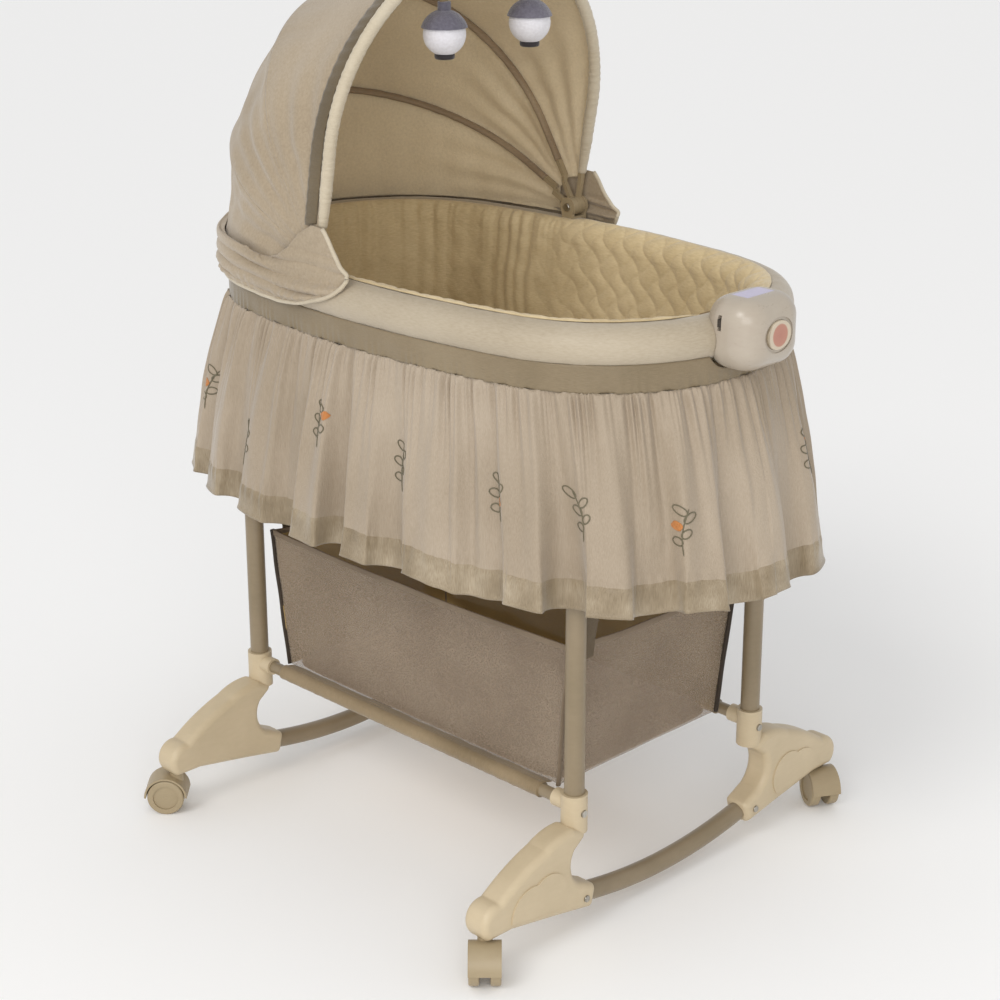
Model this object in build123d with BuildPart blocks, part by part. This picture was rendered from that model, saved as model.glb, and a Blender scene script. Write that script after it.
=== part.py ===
"""Rocking bassinet on casters, with a folding hood, a gathered skirt and a storage basket.

Frame: millimetres, +Z up, +X towards the foot end, -Y the long side that is seen first.
The origin lies on the floor under the middle of the stand.
"""
import os
from math import asin, atan2, cos, degrees, hypot, radians, sin, sqrt

from build123d import *

os.makedirs("parts", exist_ok=True)

# Clearances
gap = 0.3                      # soft pieces and pieces of different bodies
snug = 0.1                     # a tube in its socket, all round
running = 0.05                 # a pin in its bore, all round
overrun = 2.0                  # how far a cut runs past the face it opens

# Stand tubes
leg_spread_x = 300.0           # leg axis from the middle, lengthwise
tube_diameter = 25.0
tube_wall = 1.5
rail_diameter = 16.0
rail_height = 173.0
deck_tube_diameter = 19.0
rocker_radius = 715.0          # the curve that the stand rocks on
rocker_low_height = 30.0       # axis of the rocker tube at its lowest point
rocker_end_y = 182.0           # end of the rocker tube inside its foot

# Foot moulding
foot_thickness = 38.0
foot_corner_radius = 6.0
foot_edge_radius = 9.0
foot_reach = 171.0             # from the leg axis to the tip of the toe
foot_rise = 120.0              # from the lowest point of the moulding to the collar
foot_base = 31.0               # height of the lowest point of the moulding
toe_underside = 57.0
collar_diameter = 33.0
collar_top = 189.0
leg_socket_depth = 44.0
socket_wall = 3.5
rail_socket_length = 30.0      # from the collar's axis
rail_inset = 17.5              # end of a rail from the leg's axis
toe_panel_rise = 1.6           # raised panel on the outer face
screw_head_diameter = 9.0
screw_head_height = 2.4
screw_seat_depth = 0.8
screw_shank_diameter = 4.0
collar_screw_height = 166.0
rocker_screw_y = 164.0

# Casters
caster_y = 320.0               # swivel axis from the middle, across
wheel_diameter = 50.0
wheel_width = 13.0
wheel_edge_radius = 2.5
wheel_dish_diameter = 34.0
wheel_dish_depth = 2.0
wheel_side_gap = 0.6
caster_trail = 14.0            # axle behind the swivel axis
caster_web = 12.0
fender_gap = 1.5
fender_wall = 2.5
fender_overhang = 0.4          # past the wheel's outer face
caster_lobe_diameter = 22.0
caster_boss_diameter = 18.0
caster_headings = {            # where each caster trails at rest, degrees from +X
    ("head", "left"): 225.0,
    ("foot", "left"): 315.0,
    ("head", "right"): 150.0,
    ("foot", "right"): 330.0,
}
stem_diameter = 8.0
stem_length = 44.0
stem_in_foot = 27.0
axle_diameter = 5.0

# Rim
rim_height = 750.0             # axis of the rim tube
rim_half_length = 380.0
rim_half_width = 221.0
rim_side_radius = 1200.0
rim_corner_radius = 190.0
rim_end_radius = 420.0
rim_tube_diameter = 22.0
rim_pad_diameter = 52.0
rim_bracket_base = 700.0
rim_bracket_neck_wall = 2.0
leg_top = 733.0

# Tub
tub_wall = 8.0
tub_wall_inset = 17.5          # outer face of the wall inside the rim's line, at its top
tub_wall_drop = 3.0            # top of the wall below the pad's surface
tub_taper = 14.0               # how much further inside the rim's line it is at the floor
floor_height = 500.0           # top of the floor board
floor_board_thickness = 6.0
mattress_height = 32.0
mattress_crown = 6.0
mattress_roll = 12.0           # how far the sides draw in
deck_bracket_height = 30.0

# Skirt
band_inset = 7.0               # outer face of the ribbon band inside the pad's outer line
band_thickness = 2.0
band_height = 30.0
skirt_thickness = 3.0
skirt_folds = 24
skirt_gather_depth = 2.5       # waves at the band
skirt_fold_depth = 14.0        # folds at the hem
hem_height = 462.0
hem_half_length = 490.0        # over the folds
hem_half_width = 290.0         # over the folds
hem_side_radius = 1500.0
hem_corner_radius = 250.0
hem_end_radius = 520.0

# Hood
hood_pivot_x = -75.0
hood_pivot_height = 790.0
hood_reaches = {"rear": 332.0, "middle": 346.0, "front": 370.0}  # from the pivots to each bow's top
bow_diameter = 6.0
bow_angles = {"rear": 26.0, "middle": 58.5, "front": 100.0}
hub_radius = 12.0
hub_thickness = 6.0
lug_thickness = 4.0
lug_radius = 13.0
inner_lug_y = 208.0            # inner face of the inner lug
mount_length = 24.0
mount_neck_length = 20.0
clamp_wall = 4.0
bow_arm_thickness = 6.0
bow_arm_width = 9.0
bow_arm_straight = 35.0        # the arm keeps its hub's plane up to here
bow_arm_length = 66.0
pin_diameter = 6.0
pin_head_diameter = 11.0
pin_head_height = 3.0
fabric = 2.0                   # thickness of the hood's cloth
hood_hem_radius = 40.0         # the cloth ends here, round the pivot
seam_angle = 0.06              # degrees between two cloth panels
binding_diameter = 16.0
binding_start = 72.0           # from the pivot
cover_wall = 2.6               # elastic cover round the head end of the pad
cover_front_x = -60.0
cover_drop = 33.0              # its hem hangs this far below the rim's line
cover_top_angle = 105.0        # how far it laps over the pad, from straight outwards
flap_wall = 2.0                # cloth flaps that hide the pivots from outside
flap_inner_y = 236.3
flap_base = 774.0
flap_front_x = -16.0
flap_crest_x = -48.0
flap_crest_height = 834.0
rear_panel_front_x = -110.0
rear_panel_offset = 22.0       # foot of the rear panel outside the rim's line
rear_panel_lift = 19.5         # foot of the rear panel above the rim's line
rear_split_angle = 76.0        # where the rear bow's arch meets the ends of the rim's corners

# Hanging toys
toy_y = 73.0
toy_ball_diameter = 52.0
toy_ball_height = 1054.0
toy_cap_wall = 3.0
toy_cap_edge = 8.0             # lower edge of the cap above the ball's middle
toy_knob_diameter = 16.0
toy_knob_height = 9.0          # above the cap
toy_strap_width = 12.0
toy_strap_thickness = 1.6
toy_bead_diameter = 3.2        # hem bead that the strap swings on
toy_bead_gap = 0.4             # between bead and binding
toy_strap_seat = 5.0           # end of the strap inside the knob
toy_base_diameter = 22.0
toy_base_height = 6.0

# Sound unit
unit_centre_x = 412.0
unit_centre_height = 758.0
unit_depth = 78.0
unit_width = 104.0
unit_height = 84.0
unit_plan_radius = 34.0
unit_edge_radius = 27.0
unit_split_x = 396.0
unit_seam = 0.2
unit_ring_width = 50.0
unit_ring_height = 42.0
unit_ring_depth = 2.0
button_width = 42.0
button_height = 34.0
button_thickness = 6.0
button_stand = 1.5             # the button stands proud of the shell
button_travel = 2.0
button_well = 1.5              # room left behind the pressed button
lens_width = 48.0
lens_length = 24.0
lens_depth = 6.0
lens_from_split = 3.0
slot_height = 18.0
slot_width = 5.0
slot_depth = 6.0
slot_from_split = 10.0
slot_lift = 15.0               # middle of the slot above the middle of the unit
slider_height = 9.0
slider_stand = 0.8
door_width = 44.0
door_length = 18.0
door_thickness = 2.4
door_from_split = 2.0
unit_strap_width = 20.0
unit_strap_thickness = 1.6
unit_strap_offset = 24.0
unit_strap_sweep = 110.0

# Storage basket
basket_floor_height = 176.0
basket_half_length = 258.0
basket_half_width = 150.0
basket_top_height = 370.0
basket_flare_length = 21.0
basket_flare_width = 6.0
basket_wall = 2.0
basket_corner_radius = 12.0
basket_sleeve_end = 12.0       # the sleeve ends short of the basket's corner
basket_board_thickness = 3.0
basket_strap_width = 22.0
basket_strap_thickness = 1.5
basket_strap_y = 124.0
basket_strap_lap = 25.0        # how far a strap runs down the basket's end

# Worked out from the sizes above
ends = {"head": -1, "foot": 1}
sides = {"left": -1, "right": 1}
tube_radius = tube_diameter / 2
rail_radius = rail_diameter / 2
deck_tube_radius = deck_tube_diameter / 2
pad_radius = rim_pad_diameter / 2
rim_tube_radius = rim_tube_diameter / 2
wheel_radius = wheel_diameter / 2
bow_radius = bow_diameter / 2
binding_radius = binding_diameter / 2
hub_pitch = hub_thickness + gap
hub_order = list(bow_angles)
first_hub_y = inner_lug_y + lug_thickness + gap
outer_lug_y = first_hub_y + len(hub_order) * hub_pitch
bow_half_width = outer_lug_y - gap - hub_thickness / 2
arch_heights = {name: reach - bow_half_width for name, reach in hood_reaches.items()}
rocker_centre_height = rocker_low_height + rocker_radius
deck_height = floor_height - floor_board_thickness - deck_tube_radius


def finish(piece, name):
    """Label a finished piece and write its file."""
    piece.part.label = name
    export_step(piece.part, f"parts/{name}.step")


def oval(half_length, half_width, side_radius, corner_radius, end_radius, offset=0):
    """The eight tangent arcs of an oval: centre x, centre y, radius, start and size in degrees."""
    side_y = half_width - side_radius
    end_x = half_length - end_radius
    from_side = side_radius - corner_radius
    from_end = end_radius - corner_radius
    span = hypot(end_x, side_y)
    along = (from_side**2 - from_end**2 + span**2) / (2 * span)
    across = sqrt(from_side**2 - along**2)
    corner_x = (along * end_x - across * side_y) / span
    corner_y = side_y - (along * side_y + across * end_x) / span
    at_end = degrees(atan2(corner_y, corner_x - end_x))
    at_side = degrees(atan2(corner_y - side_y, corner_x))
    end_r, corner_r, side_r = end_radius + offset, corner_radius + offset, side_radius + offset
    return [
        (end_x, 0, end_r, -at_end, 2 * at_end),
        (corner_x, corner_y, corner_r, at_end, at_side - at_end),
        (0, side_y, side_r, at_side, 180 - 2 * at_side),
        (-corner_x, corner_y, corner_r, 180 - at_side, at_side - at_end),
        (-end_x, 0, end_r, 180 - at_end, 2 * at_end),
        (-corner_x, -corner_y, corner_r, 180 + at_end, at_side - at_end),
        (0, -side_y, side_r, 180 + at_side, 180 - 2 * at_side),
        (corner_x, -corner_y, corner_r, 360 - at_side, at_side - at_end),
    ]


def rim_oval(offset=0):
    """The rim's line, grown outwards by offset."""
    return oval(rim_half_length, rim_half_width, rim_side_radius, rim_corner_radius, rim_end_radius, offset)


def draw_oval(arcs):
    """Draw an oval's arcs in the open line builder."""
    for centre_x, centre_y, radius, start, size in arcs:
        CenterArc((centre_x, centre_y), radius, start, size)


def oval_point(arcs, share, outwards):
    """A point at a share of the way round an oval, moved outwards along its normal."""
    lengths = [radius * radians(size) for _, _, radius, _, size in arcs]
    way = (share * sum(lengths) + lengths[0] / 2) % sum(lengths)
    for (centre_x, centre_y, radius, start, size), length in zip(arcs, lengths):
        if way <= length:
            break
        way -= length
    angle = radians(start + size * way / length)
    reach = radius + outwards
    return centre_x + reach * cos(angle), centre_y + reach * sin(angle)


def draw_waves(arcs, depth, outwards):
    """Draw folds round an oval as arcs that swing out and in by depth."""
    count = 2 * skirt_folds
    for index in range(count):
        swing = depth if index % 2 == 0 else -depth
        before = oval_point(arcs, (index - 0.5) / count, outwards)
        peak = oval_point(arcs, index / count, outwards + swing)
        after = oval_point(arcs, (index + 0.5) / count, outwards)
        ThreePointArc(before, peak, after)


def oval_y(arcs, x):
    """Half the width of an oval at a place along it."""
    for centre_x, centre_y, radius, start, size in arcs[:3]:
        if abs(x - centre_x) <= radius:
            y = centre_y + sqrt(radius**2 - (x - centre_x) ** 2)
            if start <= degrees(atan2(y - centre_y, x - centre_x)) <= start + size:
                return y


def rocker_height_at(y):
    """Height of the rocker tube's axis at a place across the stand."""
    return rocker_centre_height - sqrt(rocker_radius**2 - y**2)


def rocker_angle_at(y):
    """Slope of the rocker tube's axis there, in degrees."""
    return degrees(asin(y / rocker_radius))


leg_y = oval_y(rim_oval(), leg_spread_x)       # the legs stand under the rim


# Rocker tubes: one bent tube at each end of the stand
def rocker_rod(radius, end_y):
    """A round rod along the rocker's curve under the foot end's legs."""
    half_angle = rocker_angle_at(end_y)
    with BuildPart() as rod:
        with BuildLine(Plane.YZ.offset(leg_spread_x)) as curve:
            CenterArc((0, rocker_centre_height), rocker_radius, 270 - half_angle, 2 * half_angle)
        with BuildSketch(Plane(origin=curve.line @ 0, x_dir=(1, 0, 0), z_dir=curve.line % 0)):
            Circle(radius)
        sweep()
    return rod.part


rocker_core = rocker_rod(tube_radius + snug, rocker_end_y + gap)
for end, end_sign in ends.items():
    with BuildPart() as rocker_tube:
        add(rocker_rod(tube_radius, rocker_end_y))
        add(rocker_rod(tube_radius - tube_wall, rocker_end_y), mode=Mode.SUBTRACT)
        if end_sign < 0:
            mirror(about=Plane.YZ, mode=Mode.REPLACE)
    finish(rocker_tube, f"rocker_tube_{end}")

# Stand feet. The shares run from the leg's axis to the toe, and from the lowest point to the collar
foot_top_shares = [(0.10, 1.00), (0.24, 0.985), (0.38, 0.91), (0.62, 0.77), (0.84, 0.58)]
foot_tip_share = (1.00, 0.385)
toe_flat_shares = (0.94, 0.72)
foot_under_shares = [(0.26, 0.10), (-0.10, 0.0), (-0.14, 0.24), (0.03, 0.36)]
foot_notch_shares = [(0.115, 0.56), (0.085, 0.75), (-0.055, 0.90)]
panel_shares = [(0.24, 0.20), (0.74, 0.30), (0.72, 0.44), (0.48, 0.60), (0.22, 0.54)]


def foot_points(shares):
    """Points of the foot's outline, across and up."""
    return [(leg_y + foot_reach * across, foot_base + foot_rise * up) for across, up in shares]


rocker_mouth_y = leg_y + foot_reach * foot_under_shares[1][0]
rocker_slope = radians(rocker_angle_at(rocker_mouth_y))
rocker_mouth = Plane(
    origin=(leg_spread_x, rocker_mouth_y, rocker_height_at(rocker_mouth_y)),
    x_dir=(1, 0, 0),
    z_dir=(0, cos(rocker_slope), sin(rocker_slope)),
)
collar_base = foot_base + foot_rise * foot_notch_shares[-1][1]
foot_plane = Plane.YZ.offset(leg_spread_x)
foot_face_x = leg_spread_x + foot_thickness / 2
collar_face_x = leg_spread_x + collar_diameter / 2 - screw_seat_depth
screw_places = [
    (collar_face_x, leg_y, collar_screw_height),
    (foot_face_x, rocker_screw_y, rocker_height_at(rocker_screw_y)),
]
with BuildPart() as foot:
    with BuildSketch(foot_plane.offset(-foot_thickness / 2)) as foot_outline:
        with BuildLine():
            top = foot_points(foot_top_shares)
            tip = foot_points([foot_tip_share])[0]
            flat = [(leg_y + foot_reach * share, toe_underside) for share in toe_flat_shares]
            under = foot_points(foot_under_shares)
            notch = foot_points(foot_notch_shares)
            ThreePointArc(top[0], top[1], top[2])
            ThreePointArc(top[2], top[3], top[4])
            ThreePointArc(top[4], tip, flat[0])
            Polyline(flat[0], flat[1], *under)
            ThreePointArc(under[-1], notch[0], notch[1])
            Polyline(notch[1], notch[2], top[0])
        make_face()
        fillet(foot_outline.vertices(), foot_corner_radius)
    extrude(amount=foot_thickness)
    fillet(foot.faces().filter_by(Axis.X).edges(), foot_edge_radius)
    with BuildSketch(foot_plane.offset(foot_thickness / 2 - foot_edge_radius)):
        with BuildLine():
            panel = foot_points(panel_shares)
            Line(panel[0], panel[1])
            ThreePointArc(panel[1], panel[2], panel[3])
            ThreePointArc(panel[3], panel[4], panel[0])
        make_face()
    extrude(amount=foot_edge_radius + toe_panel_rise)
    with BuildSketch(Plane.XY.offset(collar_base)):
        with Locations((leg_spread_x, leg_y)):
            Circle(collar_diameter / 2)
    extrude(amount=collar_top - collar_base)
    with BuildSketch(rocker_mouth):
        Circle(tube_radius + socket_wall)
    extrude(amount=rocker_end_y - rocker_mouth_y)
    with BuildSketch(Plane.YZ.offset(leg_spread_x)):
        with Locations((leg_y, rail_height)):
            Circle(rail_radius + socket_wall)
    extrude(amount=-rail_socket_length)
    with BuildSketch(Plane.YZ.offset(leg_spread_x - rail_inset)):
        with Locations((leg_y, rail_height)):
            Circle(rail_radius + snug)
    extrude(amount=-rail_socket_length, mode=Mode.SUBTRACT)
    with BuildSketch(Plane.XY.offset(collar_top)):
        with Locations((leg_spread_x, leg_y)):
            Circle(tube_radius + snug)
    extrude(amount=-leg_socket_depth, mode=Mode.SUBTRACT)
    add(rocker_core, mode=Mode.SUBTRACT)
    with BuildSketch(Plane.XY.offset(toe_underside)):
        with Locations((leg_spread_x, caster_y)):
            Circle(stem_diameter / 2 + snug)
    extrude(amount=stem_in_foot + gap, mode=Mode.SUBTRACT)
    for screw_x, screw_y, screw_z in screw_places:
        with BuildSketch(Plane.YZ.offset(screw_x)):
            with Locations((screw_y, screw_z)):
                Circle(screw_head_diameter / 2 + gap)
        extrude(amount=overrun + screw_seat_depth, mode=Mode.SUBTRACT)
        with BuildSketch(Plane.YZ.offset(screw_x)):
            with Locations((screw_y, screw_z)):
                Circle(screw_shank_diameter / 2 + snug)
        extrude(amount=leg_spread_x - screw_x, mode=Mode.SUBTRACT)

# Legs, each from its foot up to its bracket under the rim
with BuildPart() as leg:
    leg_bottom = collar_top - leg_socket_depth + gap
    with BuildSketch(Plane.XY.offset(leg_bottom)):
        with Locations((leg_spread_x, leg_y)):
            Circle(tube_radius)
            Circle(tube_radius - tube_wall, mode=Mode.SUBTRACT)
    extrude(amount=leg_top - leg_bottom)

for end, end_sign in ends.items():
    for side, side_sign in sides.items():
        for made, name in ((foot, "stand_foot"), (leg, "leg")):
            with BuildPart() as corner_piece:
                add(made.part)
                if end_sign < 0:
                    mirror(about=Plane.YZ, mode=Mode.REPLACE)
                if side_sign < 0:
                    mirror(about=Plane.XZ, mode=Mode.REPLACE)
            finish(corner_piece, f"{name}_{end}_{side}")

# Screws that hold each foot to its leg and to the rocker tube
with BuildPart() as foot_screws:
    for screw_x, screw_y, screw_z in screw_places:
        with BuildSketch(Plane.YZ.offset(screw_x)):
            with Locations((screw_y, screw_z)):
                Circle(screw_head_diameter / 2)
        extrude(amount=screw_head_height)
        with BuildSketch(Plane.YZ.offset(screw_x)):
            with Locations((screw_y, screw_z)):
                Circle(screw_shank_diameter / 2)
        extrude(amount=leg_spread_x + tube_radius + gap - screw_x)
    head_rims = foot_screws.edges().filter_by(GeomType.CIRCLE).group_by(SortBy.RADIUS)[-1]
    fillet(head_rims.sort_by(Axis.X).filter_by(lambda edge: edge.center().X > foot_face_x), screw_head_height / 2)
    mirror(about=Plane.YZ)
    mirror(about=Plane.XZ)
finish(foot_screws, "foot_screws")

# Rails of the storage basket and tubes that carry the tub's floor
for side, side_sign in sides.items():
    with BuildPart() as basket_rail:
        with BuildSketch(Plane.YZ.offset(-leg_spread_x + rail_inset + gap)):
            with Locations((side_sign * leg_y, rail_height)):
                Circle(rail_radius)
                Circle(rail_radius - tube_wall, mode=Mode.SUBTRACT)
        extrude(amount=2 * (leg_spread_x - rail_inset - gap))
    finish(basket_rail, f"basket_rail_{side}")

for end, end_sign in ends.items():
    with BuildPart() as deck_tube:
        deck_tube_end = leg_y - tube_radius - gap
        with BuildSketch(Plane.XZ.offset(-deck_tube_end)):
            with Locations((end_sign * leg_spread_x, deck_height)):
                Circle(deck_tube_radius)
                Circle(deck_tube_radius - tube_wall, mode=Mode.SUBTRACT)
        extrude(amount=2 * deck_tube_end)
    finish(deck_tube, f"deck_tube_{end}")

with BuildPart() as deck_brackets:
    with BuildSketch(Plane.XY.offset(deck_height - deck_bracket_height / 2)):
        with Locations((leg_spread_x, leg_y)):
            Circle(collar_diameter / 2)
    extrude(amount=deck_bracket_height)
    with BuildSketch(Plane.XZ.offset(-leg_y)):
        with Locations((leg_spread_x, deck_height)):
            Circle(deck_tube_radius + socket_wall)
    extrude(amount=rail_socket_length)
    with BuildSketch(Plane.XZ.offset(-leg_y)):
        with Locations((leg_spread_x, deck_height)):
            Circle(deck_tube_radius + snug)
    extrude(amount=rail_socket_length + overrun, mode=Mode.SUBTRACT)
    with BuildSketch(Plane.XY.offset(deck_height - deck_bracket_height)):
        with Locations((leg_spread_x, leg_y)):
            Circle(tube_radius + snug)
    extrude(amount=2 * deck_bracket_height, mode=Mode.SUBTRACT)
    mirror(about=Plane.YZ)
    mirror(about=Plane.XZ)
finish(deck_brackets, "deck_brackets")

# Casters: twin wheels under a fender that swivels on a stem in the toe
with BuildPart() as caster_stems:
    with BuildSketch(Plane.XY.offset(toe_underside + stem_in_foot - stem_length)):
        with Locations((leg_spread_x, caster_y)):
            Circle(stem_diameter / 2)
    extrude(amount=stem_length)
    chamfer(caster_stems.faces().sort_by(Axis.Z)[0].edges(), stem_diameter / 10)
    mirror(about=Plane.YZ)
    mirror(about=Plane.XZ)
finish(caster_stems, "caster_stems")

fender_radius = wheel_radius + fender_gap + fender_wall
wheel_inner = caster_web / 2 + wheel_side_gap
wheel_outer = wheel_inner + wheel_width
for (end, side), heading in caster_headings.items():
    stem_x, stem_y = ends[end] * leg_spread_x, sides[side] * caster_y
    forward = (cos(radians(heading)), sin(radians(heading)), 0)
    axle = Plane(
        origin=(stem_x + caster_trail * forward[0], stem_y + caster_trail * forward[1], wheel_radius),
        x_dir=forward,
        z_dir=(forward[1], -forward[0], 0),
    )
    with BuildPart() as caster_body:
        with BuildSketch(axle) as fender_side:
            Circle(fender_radius)
            split(bisect_by=Plane.XZ, keep=Keep.BOTTOM)
        extrude(amount=wheel_outer + fender_overhang, both=True)
        with BuildSketch(axle):
            Circle(caster_lobe_diameter / 2)
        extrude(amount=caster_web / 2, both=True)
        with BuildSketch(Plane.XY.offset(wheel_radius)):
            with Locations((stem_x, stem_y)):
                Circle(caster_boss_diameter / 2)
        extrude(amount=toe_underside - gap - wheel_radius)
        for flank in (1, -1):
            with BuildSketch(axle.offset(flank * caster_web / 2)):
                Circle(wheel_radius + fender_gap)
            extrude(amount=flank * (wheel_width + caster_web), mode=Mode.SUBTRACT)
        with BuildSketch(Plane.XY.offset(toe_underside)):
            with Locations((stem_x, stem_y)):
                Circle(stem_diameter / 2 + running)
        extrude(amount=stem_in_foot - stem_length - gap, mode=Mode.SUBTRACT)
        with BuildSketch(axle):
            Circle(axle_diameter / 2 + running)
        extrude(amount=caster_web, both=True, mode=Mode.SUBTRACT)
    finish(caster_body, f"caster_body_{end}_{side}")

    with BuildPart() as caster_wheels:
        for flank in (1, -1):
            with BuildSketch(axle.offset(flank * wheel_inner)):
                Circle(wheel_radius)
                Circle(axle_diameter / 2 + running, mode=Mode.SUBTRACT)
            extrude(amount=flank * wheel_width)
        treads = caster_wheels.edges().filter_by(GeomType.CIRCLE).group_by(SortBy.RADIUS)[-1]
        fillet(treads, wheel_edge_radius)
        for flank in (1, -1):
            with BuildSketch(axle.offset(flank * wheel_outer)):
                Circle(wheel_dish_diameter / 2)
            extrude(amount=-flank * wheel_dish_depth, mode=Mode.SUBTRACT)
        with BuildSketch(axle):
            Circle(axle_diameter / 2)
        extrude(amount=wheel_outer - wheel_dish_depth, both=True)
    finish(caster_wheels, f"caster_wheels_{end}_{side}")


# Rim: a bent tube inside a round pad
def rim_rod(radius):
    """A round rod along the rim's line."""
    with BuildPart() as rod:
        with BuildLine(Plane.XY.offset(rim_height)) as rim_line:
            draw_oval(rim_oval())
        tangent = rim_line.line % 0
        with BuildSketch(Plane(origin=rim_line.line @ 0, z_dir=tangent)):
            Circle(radius)
        sweep()
    return rod.part


rim_hollow = rim_rod(rim_tube_radius + snug)
pad_hollow = rim_rod(pad_radius + gap)
with BuildPart() as rim_tube:
    add(rim_rod(rim_tube_radius))
    add(rim_rod(rim_tube_radius - tube_wall), mode=Mode.SUBTRACT)
finish(rim_tube, "rim_tube")

neck_radius = tube_radius + rim_bracket_neck_wall
pad_underside = rim_height - pad_radius
with BuildPart() as rim_brackets:
    with BuildSketch(Plane.XY.offset(rim_bracket_base)):
        with Locations((leg_spread_x, leg_y)):
            Circle(collar_diameter / 2)
    extrude(amount=pad_underside - gap - rim_bracket_base)
    with BuildSketch(Plane.XY.offset(rim_bracket_base)):
        with Locations((leg_spread_x, leg_y)):
            Circle(neck_radius)
    extrude(amount=rim_height - rim_bracket_base)
    with BuildSketch(Plane.XY.offset(rim_bracket_base)):
        with Locations((leg_spread_x, leg_y)):
            Circle(tube_radius + snug)
    extrude(amount=leg_top + gap - rim_bracket_base, mode=Mode.SUBTRACT)
    add(rim_hollow, mode=Mode.SUBTRACT)
    mirror(about=Plane.YZ)
    mirror(about=Plane.XZ)
finish(rim_brackets, "rim_brackets")

# Hood mounts: a clamp round the rim tube with two lugs that hold the hood's pin
hood_axis = Axis((hood_pivot_x, 0, hood_pivot_height), (0, 1, 0))
mount_y = oval_y(rim_oval(), hood_pivot_x)
mount_top = hood_pivot_height - hub_radius - gap
lug_faces = (inner_lug_y, outer_lug_y)
with BuildPart() as hood_mounts:
    with BuildSketch(Plane.YZ.offset(hood_pivot_x)):
        with Locations((mount_y, rim_height)):
            Circle(rim_tube_radius + clamp_wall)
    extrude(amount=mount_length / 2, both=True)
    with BuildSketch(Plane.XY.offset(rim_height)):
        with Locations((hood_pivot_x, (inner_lug_y + outer_lug_y + lug_thickness) / 2)):
            Rectangle(mount_neck_length, outer_lug_y + lug_thickness - inner_lug_y)
    extrude(amount=mount_top - rim_height)
    for lug_y in lug_faces:
        with BuildSketch(Plane.XZ.offset(-lug_y)):
            with Locations((hood_pivot_x, hood_pivot_height)):
                Circle(lug_radius)
            with Locations((hood_pivot_x, (mount_top + hood_pivot_height) / 2)):
                Rectangle(mount_neck_length, hood_pivot_height - mount_top)
            with Locations((hood_pivot_x, hood_pivot_height)):
                Circle(pin_diameter / 2 + running, mode=Mode.SUBTRACT)
        extrude(amount=-lug_thickness)
    add(rim_hollow, mode=Mode.SUBTRACT)
    mirror(about=Plane.XZ)
finish(hood_mounts, "hood_mounts")

with BuildPart() as hood_pins:
    with BuildSketch(Plane.XZ.offset(-inner_lug_y + pin_head_height)):
        with Locations((hood_pivot_x, hood_pivot_height)):
            Circle(pin_head_diameter / 2)
    extrude(amount=-pin_head_height + gap)
    fillet(hood_pins.faces().sort_by(Axis.Y)[0].edges(), pin_head_height / 2)
    with BuildSketch(Plane.XZ.offset(-inner_lug_y + pin_head_height / 2)):
        with Locations((hood_pivot_x, hood_pivot_height)):
            Circle(pin_diameter / 2)
    extrude(amount=inner_lug_y - pin_head_height / 2 - outer_lug_y - lug_thickness)
    mirror(about=Plane.XZ)
finish(hood_pins, "hood_pins")

# Pad round the rim, with pockets for what reaches its tube
with BuildPart() as rim_pad:
    add(rim_rod(pad_radius))
    add(rim_rod(rim_tube_radius + gap), mode=Mode.SUBTRACT)
    with BuildSketch(Plane.XY.offset(rim_height)):
        with GridLocations(2 * leg_spread_x, 2 * leg_y, 2, 2):
            Circle(neck_radius + gap)
    extrude(amount=-rim_pad_diameter, mode=Mode.SUBTRACT)
    pocket_near = mount_y - rim_tube_radius - clamp_wall - gap
    pocket_far = outer_lug_y + lug_thickness + gap
    with BuildSketch(Plane.XY.offset(rim_height - rim_tube_radius - clamp_wall - gap)):
        for side_sign in sides.values():
            with Locations((hood_pivot_x, side_sign * (pocket_near + pocket_far) / 2)):
                Rectangle(mount_length + 2 * gap, pocket_far - pocket_near)
    extrude(amount=rim_pad_diameter, mode=Mode.SUBTRACT)
finish(rim_pad, "rim_pad")

# Tub: quilted wall, floor board and mattress
tub_top = rim_height - sqrt((pad_radius + gap) ** 2 - tub_wall_inset**2) - tub_wall_drop
tub_foot_inset = tub_wall_inset + tub_taper
tub_base = floor_height + gap
with BuildPart() as liner:
    for mode, inset in ((Mode.ADD, 0), (Mode.SUBTRACT, tub_wall)):
        with BuildSketch(Plane.XY.offset(tub_base)):
            with BuildLine():
                draw_oval(rim_oval(-tub_foot_inset - inset))
            make_face()
        with BuildSketch(Plane.XY.offset(tub_top)):
            with BuildLine():
                draw_oval(rim_oval(-tub_wall_inset - inset))
            make_face()
        loft(ruled=True, mode=mode)
finish(liner, "liner")

with BuildPart() as floor_board:
    with BuildSketch(Plane.XY.offset(floor_height - floor_board_thickness)):
        with BuildLine():
            draw_oval(rim_oval(-tub_foot_inset))
        make_face()
    extrude(amount=floor_board_thickness)
finish(floor_board, "floor_board")

mattress_shares = [(0.0, 0.9), (0.12, 0.35), (0.32, 0.05), (0.55, 0.0), (0.78, 0.4), (0.93, 1.4), (1.0, 3.2)]
with BuildPart() as mattress:
    mattress_inset = tub_foot_inset + tub_wall + gap
    for height_share, roll_share in mattress_shares:
        with BuildSketch(Plane.XY.offset(floor_height + gap + mattress_height * height_share)):
            with BuildLine():
                draw_oval(rim_oval(-mattress_inset - mattress_roll * roll_share))
            make_face()
    with BuildSketch(Plane.XY.offset(floor_height + gap + mattress_height + mattress_crown)):
        with BuildLine():
            draw_oval(rim_oval(-mattress_inset - mattress_roll * 2 * mattress_shares[-1][1]))
        make_face()
    loft(ruled=True)
finish(mattress, "mattress")

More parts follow.
